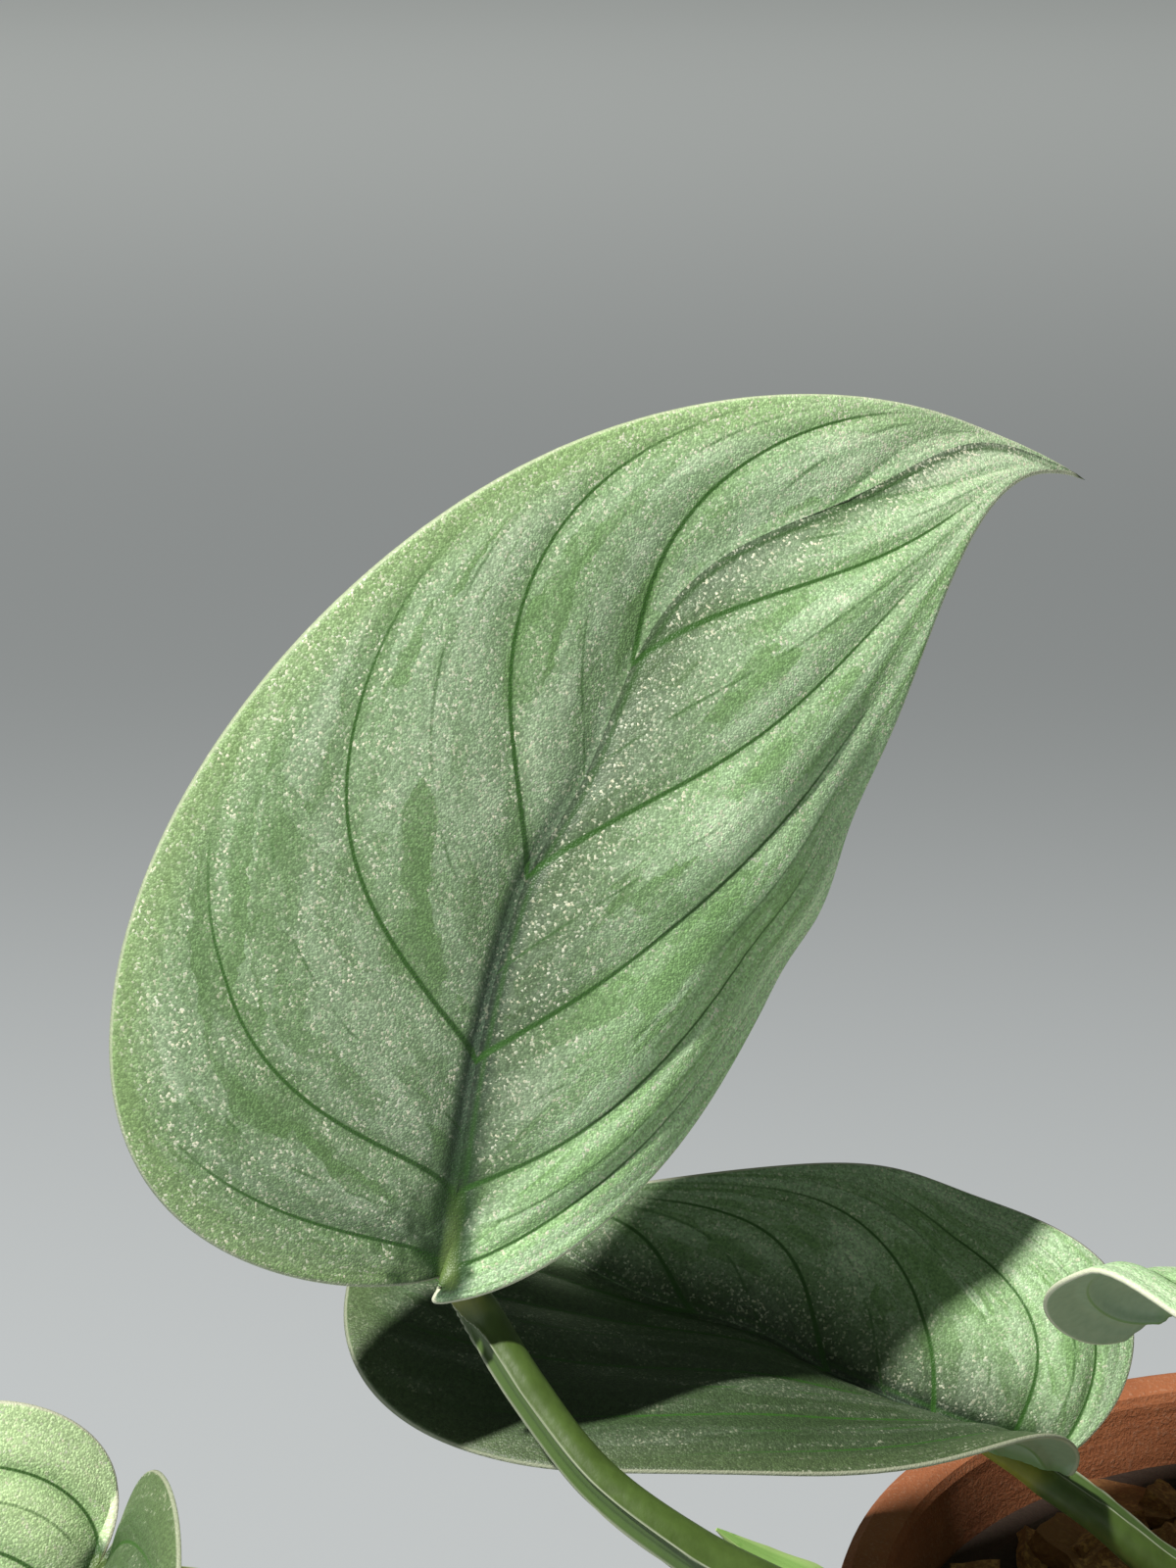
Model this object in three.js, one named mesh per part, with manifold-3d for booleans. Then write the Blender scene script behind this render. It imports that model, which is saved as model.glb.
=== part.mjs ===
// Young silver-leaved scindapsus in a plain clay pot.
// Millimetres, +Z up, origin at the centre of the pot's base, the plant leaning to -X.
import * as THREE from 'three';
import { mergeVertices } from 'three/addons/utils/BufferGeometryUtils.js';
import Module from 'manifold-3d';

const wasm = await Module();
wasm.setup();

// Pot
const potHeight = 76;
const potTopRadius = 44;
const potBaseRadius = 31;
const collarHeight = 18;
const collarStep = 2.4;
const potWall = 4.4;
const potFloor = 6;
const rimRound = 1.4;
const collarChamfer = 0.6;
const potSides = 40;
const drainCount = 3;
const drainRadius = 4;
const drainRing = 15;
const drainSides = 16;

// Potting mix, with bark chips on its top
const mixTop = 70;
const mixCrown = 2;
const crownShoulder = 0.6;
const mixSides = 32;
const chipCount = 40;
const chipReach = 31;
const chipLength = [6.5, 11];
const chipWidth = [4, 6.5];
const chipThickness = [2.2, 3.4];
const chipRise = 1.2;
const chipTaper = 0.3;
const chipTilt = 0.35;
const chipJitter = 0.5;
const chipSeed = 1948;

// Green parts
const fit = 0.3;
const bladeThickness = 0.8;
const bladeRows = 18;
const bladeColumns = 5;
const midribSteps = 48;
const seatReach = 1.2;
const stemRadius = 2.7;
const stemTaper = 0.85;
const stemSides = 9;
const stemSteps = 16;
const nodeRadius = 3.5;
const nodeRings = 6;
const stalkSides = 7;
const stalkSteps = 12;
const rootRadius = 0.9;
const rootTaper = 0.5;
const rootSides = 6;
const rootSteps = 5;
const newLeafSteps = 10;
const weld = 1e-4;

// Shape rules shared by all blades: the flat midrib strip and the reach of a full fold in
// millimetres, then places in shares of the blade's length
const ribHalfWidth = 0.7;
const foldWidth = 4;
const foldReach = 0.16;
const ribLean = 1.7;
const lobeShare = 0.42;
const lobeReach = 0.25;
const zigzagStart = 0.25;
const zigzagFull = 0.4;
const zigzagFade = 0.85;
const zigzagPeak = 0.39;
const zigzagPitch = 0.34;
const rippleCount = 3.5;
const rippleOffset = 0.4;

// One half of a blade laid flat. lobe is how far its first curve pulls out and back from the
// stalk, shoulder and flank are the pulls below and above the widest place, tip is the pull
// out from and back along the midrib where the half runs out.
function plainHalf(width, length) {
  return {
    width,
    widest: 0.25 * length,
    lobe: [0.06 * length, 0.1 * length],
    shoulder: 0.2 * length,
    flank: 0.27 * length,
    tip: [1.5, 0.24 * length],
  };
}

// A blade starts where its stalk meets it (base). Heading turns it from +Y towards -X, pitch
// lifts it, roll turns it about its midrib. sweep bends the midrib to the blade's right and
// droop bends it down, in degrees per blade length. fold lifts each half from the midrib,
// cup adds to that near the stalk, curl turns it down again in degrees per millimetre.
const blades = [
  {
    name: 'blade_1', base: [-75.4, -29.5, 123.6], heading: -31.4, pitch: 76.9, roll: 46.4,
    length: 96, twist: -13.7, zigzag: 1, wave: 0.3,
    sweep: [5, 73, 116, 111, 133], droop: [-1, 25, 60, 79, 110],
    left: { width: 27.3, widest: 18.3, lobe: [4.2, 1.4], shoulder: 20.4, flank: 20.9, tip: [1.7, 25.4] },
    right: { width: 25.4, widest: 33.5, lobe: [1.2, 5], shoulder: 22.5, flank: 33.9, tip: [1.9, 20.3] },
    fold: [15.5, 13.3], cup: [0, 0], curl: [1.09, 2.59],
  },
  {
    name: 'blade_2', base: [-26.9, -7.8, 95.4], heading: 93, pitch: 25.4, roll: -18.3,
    length: 65.8, twist: -36, zigzag: 0.6, wave: 0.3,
    sweep: [4, 43, -4, 30, 2], droop: [11, 28, 28, 35, 50],
    left: { width: 26, widest: 39.9, lobe: [5.1, 6.3], shoulder: 15.3, flank: 20.8, tip: [1.6, 12.2] },
    right: { width: 19.5, widest: 13.8, lobe: [6.3, 5.2], shoulder: 21.1, flank: 18.2, tip: [0.6, 25.9] },
    fold: [46, 27.8], cup: [25, 22], curl: [1.54, 1.32],
  },
  {
    name: 'blade_3', base: [-99.6, -43.6, 108.2], heading: 154.5, pitch: -48.6, roll: -8.8,
    length: 63.3, twist: 0, zigzag: 0.6, wave: 0.5,
    sweep: [-13, -15, -10, -5, -1], droop: [18, 27, 35, 44, 51],
    left: { width: 20.3, widest: 5.9, lobe: [8, 3], shoulder: 7, flank: 16.6, tip: [1.5, 16] },
    right: { width: 20, widest: 3.3, lobe: [6, 9], shoulder: 13.1, flank: 16.6, tip: [1.5, 16] },
    fold: [45.7, 28.2], cup: [10, 12], curl: [1.67, 1.52],
  },
  {
    name: 'blade_4', base: [-21.2, -24.8, 118.9], heading: -94.8, pitch: 38.8, roll: 9.5,
    length: 43.3, twist: 26, zigzag: 0.4, wave: 0.4,
    sweep: [44, 22, 8, 5, 1], droop: [16, 30, 39, 47, 52],
    left: { width: 16.6, widest: 17.1, lobe: [1.2, 3], shoulder: 5.6, flank: 13, tip: [1.5, 12.5] },
    right: { width: 19.6, widest: 5, lobe: [1.2, 11.2], shoulder: 14, flank: 12.5, tip: [1.5, 12.5] },
    fold: [15.5, 27.6], cup: [10.5, 37], curl: [1.51, 1.39],
  },
  {
    name: 'blade_5', base: [27, 17, 115], heading: -72, pitch: 12, roll: 8,
    length: 78, twist: -12, zigzag: 0.8, wave: 0.7,
    sweep: [0, 20, 30, 35, 25], droop: [8, 26, 38, 48, 60],
    left: plainHalf(22, 78), right: plainHalf(20, 78),
    fold: [20, 22], cup: [18, 18], curl: [1.4, 1.5],
  },
  {
    name: 'blade_6', base: [37, -27, 104], heading: -131, pitch: -6, roll: -10,
    length: 68, twist: 10, zigzag: 0.7, wave: 0.7,
    sweep: [0, -12, -24, -30, -20], droop: [14, 30, 42, 50, 60],
    left: plainHalf(18, 68), right: plainHalf(20, 68),
    fold: [22, 20], cup: [18, 18], curl: [1.5, 1.4],
  },
  {
    name: 'blade_7', base: [9, 19, 141], heading: -12, pitch: 34, roll: 6,
    length: 60, twist: 8, zigzag: 0.6, wave: 0.6,
    sweep: [0, 15, 25, 30, 20], droop: [10, 30, 44, 55, 70],
    left: plainHalf(17, 60), right: plainHalf(18, 60),
    fold: [24, 22], cup: [18, 18], curl: [1.5, 1.5],
  },
];

// Each vine stands upright in the mix and then follows its stem. A stalk leaves the stem at
// its first point, carries the blade it names, and ends just under it. A root is a stub.
const vines = [
  {
    name: 'vine_front',
    stem: [[-17, -15, 44], [-17, -15, 68], [-19, -18, 79], [-28, -25.5, 87], [-41, -34.5, 91.5]],
    nodes: [[-28, -25.5, 87], [-41, -34.5, 91.5]],
    stalks: [
      {
        blade: 'blade_1', radii: [2.3, 2, 1.75, 1.5],
        route: [[-41, -34.5, 91.5], [-48, -36.8, 99.3], [-57.4, -36.4, 104.9], [-64.3, -33.8, 109.3],
          [-69.4, -29.6, 114.3], [-72.9, -26.4, 118.8]],
      },
      {
        blade: 'blade_3', radii: [2.1, 1.7, 1.5, 1.4],
        route: [[-28, -25.5, 87], [-44, -28, 87.5], [-66, -32, 90], [-84, -35, 96.5], [-94.5, -38, 103]],
      },
    ],
    roots: [[[-28, -25.5, 87], [-29.5, -29.5, 83], [-30, -31, 79.5]]],
  },
  {
    name: 'vine_back',
    stem: [[-3, -2, 44], [-3, -2, 68], [-6, -5, 78], [1, 2, 90], [7, 8, 100], [9, 12, 112]],
    nodes: [[-6, -5, 78], [7, 8, 100], [9, 12, 112]],
    stalks: [
      {
        blade: 'blade_2', radii: [2.2, 1.9, 1.75, 1.6],
        route: [[-6, -5, 78], [-12, -7, 81.4], [-18.5, -8.2, 86.3], [-23.8, -8.4, 91.2]],
      },
      {
        blade: 'blade_5', radii: [2.2, 1.8, 1.6, 1.5],
        route: [[7, 8, 100], [12, 10.5, 107], [19, 13.5, 112]],
      },
      {
        blade: 'blade_7', radii: [2, 1.7, 1.5, 1.4],
        route: [[9, 12, 112], [10, 13.5, 122], [9.5, 14.5, 132]],
      },
    ],
    roots: [[[7, 8, 100], [10.5, 5.5, 97.5], [12, 5, 94]]],
  },
  {
    name: 'vine_right',
    stem: [[13, -12, 44], [13, -12, 68], [12, -13, 80], [19, -18, 88], [27, -22, 93]],
    nodes: [[12, -13, 80], [27, -22, 93]],
    stalks: [
      {
        blade: 'blade_4', radii: [2.1, 1.7, 1.5, 1.35],
        route: [[12, -13, 80], [4, -16, 92], [-6, -19, 103], [-15, -22, 111.5]],
      },
      {
        blade: 'blade_6', radii: [2.1, 1.8, 1.6, 1.45],
        route: [[27, -22, 93], [31, -24.2, 98.5]],
      },
    ],
    roots: [[[27, -22, 93], [26.5, -25.5, 90], [26, -26.5, 86.5]]],
  },
];

// Rolled new leaf beside the first blade's stalk
const newLeafRoute = [[-41.2, -31.2, 94.2], [-44.6, -32.9, 97.6], [-48.6, -33.7, 100.2],
  [-51.9, -33.8, 102.2], [-55.6, -34.2, 105.3]];
const newLeafRadii = [1.5, 1.6, 1.5, 1.2, 0.4];

const skin = {
  clay: { color: 0xb8633a, roughness: 0.9 },
  mix: { color: 0x8a5a2e, roughness: 0.95 },
  stem: { color: 0x6f8f3e, roughness: 0.5 },
  bud: { color: 0x9fbf72, roughness: 0.5 },
  blade: { color: 0x7f9d76, roughness: 0.45 },
};

const rad = THREE.MathUtils.degToRad;

// Repeatable random numbers from 0 to 1
function dice(seed) {
  let state = seed;
  return () => {
    state = (state + 0x6d2b79f5) | 0;
    let mixed = Math.imul(state ^ (state >>> 15), 1 | state);
    mixed = (mixed + Math.imul(mixed ^ (mixed >>> 7), 61 | mixed)) ^ mixed;
    return ((mixed ^ (mixed >>> 14)) >>> 0) / 4294967296;
  };
}

// Straight-line value between the entries of a list, for u from 0 to 1
function along(list, u) {
  const place = THREE.MathUtils.clamp(u, 0, 1) * (list.length - 1);
  const low = Math.min(Math.floor(place), list.length - 2);
  return THREE.MathUtils.lerp(list[low], list[low + 1], place - low);
}

function meshOf(positions, triangles) {
  const geometry = new THREE.BufferGeometry();
  geometry.setAttribute('position', new THREE.Float32BufferAttribute(positions, 3));
  geometry.setIndex(triangles);
  return geometry;
}

function toSolid(source) {
  let geometry = source.clone();
  geometry.deleteAttribute('normal');
  geometry.deleteAttribute('uv');
  geometry = mergeVertices(geometry, weld);
  return new wasm.Manifold(new wasm.Mesh({
    numProp: 3,
    vertProperties: new Float32Array(geometry.attributes.position.array),
    triVerts: new Uint32Array(geometry.index.array),
  }));
}

function toGeometry(solid) {
  const mesh = solid.getMesh();
  return meshOf(Array.from(mesh.vertProperties), Array.from(mesh.triVerts));
}

// The main body of a cut solid, without its loose scraps
function largestOf(solid) {
  return solid.decompose().sort((a, b) => b.volume() - a.volume())[0];
}

// Closed round tube through the given points, its radius following the list of radii
function tube(points, radii, sides, steps, grow = 0) {
  const spots = points.map((point) => new THREE.Vector3(...point));
  const lead = spots[0].clone().sub(spots[1]).setLength(grow);
  spots[0].add(lead);
  const curve = new THREE.CatmullRomCurve3(spots);
  const frames = curve.computeFrenetFrames(steps);
  const positions = [];
  const triangles = [];
  for (let i = 0; i <= steps; i += 1) {
    const centre = curve.getPointAt(i / steps);
    const radius = along(radii, i / steps) + grow;
    for (let j = 0; j < sides; j += 1) {
      const angle = (2 * Math.PI * j) / sides;
      const spot = centre.clone();
      spot.addScaledVector(frames.normals[i], radius * Math.cos(angle));
      spot.addScaledVector(frames.binormals[i], radius * Math.sin(angle));
      positions.push(...spot);
    }
  }
  for (let i = 0; i < steps; i += 1) {
    for (let j = 0; j < sides; j += 1) {
      const a = i * sides + j;
      const b = i * sides + ((j + 1) % sides);
      triangles.push(a, b, a + sides, b, b + sides, a + sides);
    }
  }
  const last = steps * sides;
  for (let j = 1; j < sides - 1; j += 1) {
    triangles.push(0, j + 1, j, last, last + j, last + j + 1);
  }
  return toSolid(meshOf(positions, triangles));
}

// Solid of revolution about the Z axis
function turned(profile, sides) {
  const geometry = new THREE.LatheGeometry(profile, sides);
  geometry.rotateX(Math.PI / 2);
  return toSolid(geometry);
}

// Smooth start from 0 to 1 between two values
function ease(from, to, value) {
  return THREE.MathUtils.smoothstep(value, from, to);
}

// Sideways wander of the midrib at share s of the length: it bends a little at each side vein
function zigzagAt(blade, s) {
  const swing = Math.cos((2 * Math.PI * (s - zigzagPeak)) / zigzagPitch);
  return blade.zigzag * swing * ease(zigzagStart, zigzagFull, s) * (1 - ease(zigzagFade, 1, s));
}

function bladeTurn(blade) {
  const turn = new THREE.Euler(rad(blade.pitch), rad(blade.roll), rad(blade.heading), 'ZXY');
  return new THREE.Quaternion().setFromEuler(turn);
}

// Places along the midrib, each with its frame: right across the blade, forward to the tip
// and up from the upper face. The list starts behind the stalk, where the lobes reach back.
function midribFrames(blade) {
  const step = 1 / midribSteps;
  const march = (direction, count) => {
    const spot = new THREE.Vector3();
    let forward = new THREE.Vector3(0, 1, 0);
    let up = new THREE.Vector3(0, 0, 1);
    let right = new THREE.Vector3(1, 0, 0);
    const list = [{ s: 0, spot: spot.clone(), right, forward, up }];
    for (let i = 0; i < count; i += 1) {
      const middle = direction * (i + 0.5) * step;
      const sweep = rad(along(blade.sweep, middle)) * step * direction;
      const droop = rad(along(blade.droop, middle)) * step * direction;
      const twist = rad(blade.twist) * step * direction;
      const next = forward.clone().addScaledVector(right, sweep).addScaledVector(up, -droop).normalize();
      const top = up.clone().addScaledVector(forward, droop).addScaledVector(right, twist);
      top.addScaledVector(next, -top.dot(next)).normalize();
      spot.addScaledVector(forward, (direction * blade.length * step) / 2);
      spot.addScaledVector(next, (direction * blade.length * step) / 2);
      forward = next;
      up = top;
      right = forward.clone().cross(up);
      list.push({ s: direction * (i + 1) * step, spot: spot.clone(), right, forward, up });
    }
    return list;
  };
  const back = march(-1, Math.round(lobeReach * midribSteps)).slice(1).reverse();
  return back.concat(march(1, midribSteps));
}

// Frame at share s of the length, blended between the two nearest places
function frameAt(frames, s) {
  const first = frames[0].s;
  const place = THREE.MathUtils.clamp((s - first) * midribSteps, 0, frames.length - 1);
  const low = Math.min(Math.floor(place), frames.length - 2);
  const mixed = {};
  for (const key of ['spot', 'right', 'up']) {
    mixed[key] = frames[low][key].clone().lerp(frames[low + 1][key], place - low);
  }
  return mixed;
}

// Outline of one half laid flat, from the stalk (v = 0) round the lobe to the tip (v = 1)
function marginAt(half, length, v) {
  const lower = new THREE.CubicBezierCurve(
    new THREE.Vector2(0, 0),
    new THREE.Vector2(half.lobe[0], -half.lobe[1]),
    new THREE.Vector2(half.width, half.widest - half.shoulder),
    new THREE.Vector2(half.width, half.widest),
  );
  const upper = new THREE.CubicBezierCurve(
    new THREE.Vector2(half.width, half.widest),
    new THREE.Vector2(half.width, half.widest + half.flank),
    new THREE.Vector2(half.tip[0], length - half.tip[1]),
    new THREE.Vector2(0, length),
  );
  return v < lobeShare
    ? lower.getPoint(v / lobeShare)
    : upper.getPoint((v - lobeShare) / (1 - lobeShare));
}

// Bends a flat point (x across, y along) into the blade's own space. span is how far its row
// reaches from the midrib: short rows, next to the stalk and the tip, are folded less. The
// midrib itself is a narrow flat strip.
function bendPoint(blade, frames, x, y, lift, span) {
  const s = y / blade.length;
  const frame = frameAt(frames, s);
  const wander = zigzagAt(blade, s);
  const across = x - wander;
  const side = across < 0 ? 0 : 1;
  const cup = blade.cup[side] * Math.exp(-((Math.max(s, 0) / foldReach) ** 2));
  const fold = rad(blade.fold[side] + cup) * ease(0, foldWidth, span);
  const curl = rad(blade.curl[side]);
  const flat = Math.min(Math.abs(across), ribHalfWidth);
  const reach = Math.abs(across) - flat;
  const out = flat + (Math.sin(fold) - Math.sin(fold - curl * reach)) / curl;
  const rise = (Math.cos(fold - curl * reach) - Math.cos(fold)) / curl;
  const sign = side === 0 ? -1 : 1;
  return frame.spot.clone()
    .addScaledVector(frame.right, wander + sign * out)
    .addScaledVector(frame.up, rise + lift);
}

// Closed thin blade: rows run from the left margin over the midrib to the right margin
function bladeGeometry(blade) {
  const frames = midribFrames(blade);
  const turn = bladeTurn(blade);
  const base = new THREE.Vector3(...blade.base);
  const spots = [];
  const leans = [];
  const place = (x, y, lift, span) => {
    spots.push(bendPoint(blade, frames, x, y, lift, span).applyQuaternion(turn).add(base));
    const up = frameAt(frames, y / blade.length).up.applyQuaternion(turn);
    leans.push({ up, share: ease(0, foldWidth, span) });
  };
  place(0, 0, 0, 0);
  const width = 2 * bladeColumns + 1;
  for (let i = 1; i < bladeRows; i += 1) {
    const v = i / bladeRows;
    const station = v ** ribLean;
    const ribX = zigzagAt(blade, station);
    const ribY = station * blade.length;
    const margins = [marginAt(blade.left, blade.length, v), marginAt(blade.right, blade.length, v)];
    margins[0].x *= -1;
    const spans = margins.map((margin) => margin.distanceTo(new THREE.Vector2(ribX, ribY)));
    for (let j = -bladeColumns; j <= bladeColumns; j += 1) {
      const side = j < 0 ? 0 : 1;
      const t = Math.abs(j) / bladeColumns;
      const ripple = Math.sin(2 * Math.PI * (rippleCount * v + rippleOffset * side));
      const calm = ease(0, foldWidth, spans[side]) * Math.sin(Math.PI * v);
      const lift = blade.wave * t * t * ripple * calm;
      const x = THREE.MathUtils.lerp(ribX, margins[side].x, t);
      const y = THREE.MathUtils.lerp(ribY, margins[side].y, t);
      place(x, y, lift, spans[side]);
    }
  }
  place(0, blade.length, 0, 0);

  const tip = spots.length - 1;
  const at = (row, column) => 1 + (row - 1) * width + column;
  const upper = [];
  for (let j = 0; j < width - 1; j += 1) {
    upper.push(0, at(1, j + 1), at(1, j));
    upper.push(tip, at(bladeRows - 1, j), at(bladeRows - 1, j + 1));
    for (let i = 1; i < bladeRows - 1; i += 1) {
      upper.push(at(i, j), at(i, j + 1), at(i + 1, j));
      upper.push(at(i, j + 1), at(i + 1, j + 1), at(i + 1, j));
    }
  }
  const sheet = meshOf(spots.flatMap((spot) => [...spot]), upper);
  sheet.computeVertexNormals();

  const count = spots.length;
  const positions = [];
  for (const face of [1, -1]) {
    for (let i = 0; i < count; i += 1) {
      const normal = new THREE.Vector3().fromBufferAttribute(sheet.attributes.normal, i);
      const out = leans[i].up.clone().lerp(normal, leans[i].share).normalize();
      positions.push(...spots[i].clone().addScaledVector(out, (face * bladeThickness) / 2));
    }
  }
  const triangles = [...upper];
  for (let i = 0; i < upper.length; i += 3) {
    triangles.push(upper[i] + count, upper[i + 2] + count, upper[i + 1] + count);
  }
  const loop = [0];
  for (let i = 1; i < bladeRows; i += 1) loop.push(at(i, width - 1));
  loop.push(tip);
  for (let i = bladeRows - 1; i > 0; i -= 1) loop.push(at(i, 0));
  loop.forEach((a, i) => {
    const b = loop[(i + 1) % loop.length];
    triangles.push(a, a + count, b, b, a + count, b + count);
  });
  return meshOf(positions, triangles);
}

// Where a stalk of the given end radius meets the underside of its blade, just clear of it
function seatOf(blade, from, radius) {
  const turn = bladeTurn(blade);
  const up = new THREE.Vector3(0, 0, 1).applyQuaternion(turn);
  const forward = new THREE.Vector3(0, 1, 0).applyQuaternion(turn);
  const seat = new THREE.Vector3(...blade.base).addScaledVector(forward, seatReach);
  const arrival = seat.clone().sub(new THREE.Vector3(...from)).normalize();
  const slant = arrival.clone().cross(up).length();
  return seat.addScaledVector(up, -(bladeThickness / 2 + fit + radius * slant));
}

function vineSolid(vine, grow = 0) {
  const girth = [stemRadius, stemRadius, stemRadius, stemTaper * stemRadius];
  let solid = tube(vine.stem, girth, stemSides, stemSteps, grow);
  for (const node of vine.nodes) {
    const ball = new THREE.SphereGeometry(nodeRadius + grow, stemSides, nodeRings);
    ball.translate(...node);
    solid = solid.add(toSolid(ball));
  }
  for (const stalk of vine.stalks) {
    const blade = blades.find((entry) => entry.name === stalk.blade);
    const end = seatOf(blade, stalk.route.at(-1), stalk.radii.at(-1));
    solid = solid.add(tube([...stalk.route, [...end]], stalk.radii, stalkSides, stalkSteps, grow));
  }
  for (const root of vine.roots) {
    solid = solid.add(tube(root, [rootRadius, rootTaper * rootRadius], rootSides, rootSteps, grow));
  }
  return solid;
}

// Radius of the pot's wall at height z: outside below the collar, and inside
function potOutside(z) {
  return potBaseRadius + ((potTopRadius - collarStep - potBaseRadius) * z) / potHeight;
}

function potInside(z) {
  const share = (z - potFloor) / (potHeight - rimRound - potFloor);
  return THREE.MathUtils.lerp(potOutside(potFloor), potTopRadius, share) - potWall;
}

function potSolid() {
  const collarFoot = potHeight - collarHeight;
  const innerTop = potInside(potHeight - rimRound);
  const outline = new THREE.Path();
  outline.moveTo(0, 0);
  outline.lineTo(potBaseRadius - rimRound, 0);
  outline.quadraticCurveTo(potBaseRadius, 0, potOutside(rimRound), rimRound);
  outline.lineTo(potOutside(collarFoot), collarFoot);
  outline.lineTo(potTopRadius - collarChamfer, collarFoot + collarChamfer);
  outline.lineTo(potTopRadius, potHeight - rimRound);
  outline.quadraticCurveTo(potTopRadius, potHeight, potTopRadius - rimRound, potHeight);
  outline.lineTo(innerTop + rimRound, potHeight);
  outline.quadraticCurveTo(innerTop, potHeight, innerTop, potHeight - rimRound);
  outline.lineTo(potInside(potFloor), potFloor);
  outline.lineTo(0, potFloor);
  let solid = turned(outline.getPoints(2), potSides);
  for (let i = 0; i < drainCount; i += 1) {
    const angle = (2 * Math.PI * i) / drainCount;
    const drain = new THREE.CylinderGeometry(drainRadius, drainRadius, 3 * potFloor, drainSides);
    drain.rotateX(Math.PI / 2);
    drain.translate(drainRing * Math.cos(angle), drainRing * Math.sin(angle), 0);
    solid = solid.subtract(toSolid(drain));
  }
  return solid;
}

// One bark chip: a box with its corners pulled in, tilted and turned at random
function chipSolid(random) {
  const pick = ([low, high]) => low + (high - low) * random();
  const box = new THREE.BoxGeometry(pick(chipLength), pick(chipWidth), pick(chipThickness));
  box.deleteAttribute('normal');
  box.deleteAttribute('uv');
  const chip = mergeVertices(box, weld);
  const corners = chip.attributes.position;
  const pulled = (value) => value * (1 - chipTaper * random());
  for (let i = 0; i < corners.count; i += 1) {
    corners.setXY(i, pulled(corners.getX(i)), pulled(corners.getY(i)));
  }
  chip.rotateX(chipTilt * (2 * random() - 1));
  chip.rotateY(chipTilt * (2 * random() - 1));
  chip.rotateZ(2 * Math.PI * random());
  return chip;
}

function mixSolid() {
  const floor = potFloor + fit;
  const profile = [
    new THREE.Vector2(0, floor),
    new THREE.Vector2(potInside(floor) - fit, floor),
    new THREE.Vector2(potInside(mixTop) - fit, mixTop),
    new THREE.Vector2(crownShoulder * chipReach, mixTop + crownShoulder * mixCrown),
    new THREE.Vector2(0, mixTop + mixCrown),
  ];
  let solid = turned(profile, mixSides);
  const random = dice(chipSeed);
  const golden = Math.PI * (3 - Math.sqrt(5));
  for (let i = 0; i < chipCount; i += 1) {
    const radius = chipReach * Math.sqrt((i + 0.5) / chipCount);
    const angle = i * golden + chipJitter * random();
    const chip = chipSolid(random);
    const height = mixTop + mixCrown * (1 - radius / chipReach) + chipRise * random();
    chip.translate(radius * Math.cos(angle), radius * Math.sin(angle), height);
    solid = solid.add(toSolid(chip));
  }
  for (const vine of vines) solid = solid.subtract(vineSolid(vine, fit));
  return largestOf(solid);
}

function newLeafSolid() {
  const roll = tube(newLeafRoute, newLeafRadii, stalkSides, newLeafSteps);
  return roll.subtract(vineSolid(vines[0], fit));
}

const plant = new THREE.Group();

function addPiece(name, geometry, finish) {
  const material = new THREE.MeshStandardMaterial({ metalness: 0, ...finish });
  const mesh = new THREE.Mesh(geometry, material);
  mesh.name = name;
  plant.add(mesh);
}

addPiece('pot', toGeometry(potSolid()), skin.clay);
addPiece('potting_mix', toGeometry(mixSolid()), skin.mix);
for (const vine of vines) addPiece(vine.name, toGeometry(vineSolid(vine)), skin.stem);
addPiece('new_leaf', toGeometry(newLeafSolid()), skin.bud);
for (const blade of blades) addPiece(blade.name, bladeGeometry(blade), skin.blade);

export default plant;
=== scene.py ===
import math
from functools import partialmethod
import bpy
import numpy as np
from mathutils import Matrix, Vector


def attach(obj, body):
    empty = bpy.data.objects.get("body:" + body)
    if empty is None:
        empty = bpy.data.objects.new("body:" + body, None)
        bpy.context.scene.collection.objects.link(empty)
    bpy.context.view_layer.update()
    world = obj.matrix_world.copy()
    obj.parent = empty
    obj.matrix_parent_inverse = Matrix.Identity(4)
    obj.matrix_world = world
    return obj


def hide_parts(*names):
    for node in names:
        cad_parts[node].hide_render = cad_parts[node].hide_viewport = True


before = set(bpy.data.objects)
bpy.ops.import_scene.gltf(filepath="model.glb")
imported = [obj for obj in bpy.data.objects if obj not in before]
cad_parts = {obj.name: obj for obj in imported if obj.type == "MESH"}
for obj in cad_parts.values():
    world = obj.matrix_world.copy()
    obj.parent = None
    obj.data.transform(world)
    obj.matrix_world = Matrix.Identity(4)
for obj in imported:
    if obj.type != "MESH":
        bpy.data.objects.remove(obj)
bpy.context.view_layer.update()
scene = bpy.context.scene
mm = 0.001


# A value in a node tree: plain sums and comparisons with it make its math nodes
class Value:
    def __init__(self, tree, socket):
        self.tree = tree
        self.socket = socket

    def calc(self, operation, *others):
        inputs = dict(enumerate((self, *others)))
        return put(self.tree, "ShaderNodeMath", inputs, operation=operation)

    __add__ = partialmethod(calc, "ADD")
    __sub__ = partialmethod(calc, "SUBTRACT")
    __mul__ = partialmethod(calc, "MULTIPLY")
    __truediv__ = partialmethod(calc, "DIVIDE")
    __pow__ = partialmethod(calc, "POWER")
    __lt__ = partialmethod(calc, "LESS_THAN")
    __gt__ = partialmethod(calc, "GREATER_THAN")
    __abs__ = partialmethod(calc, "ABSOLUTE")

    def __rsub__(self, other):
        return put(self.tree, "ShaderNodeMath", {0: other, 1: self}, operation="SUBTRACT")


# A link where the value comes from a node, and the socket's own setting otherwise
def feed(socket, value):
    if isinstance(value, Value):
        value.tree.links.new(value.socket, socket)
    else:
        socket.default_value = (*value, 1) if socket.type == "RGBA" else value


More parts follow.
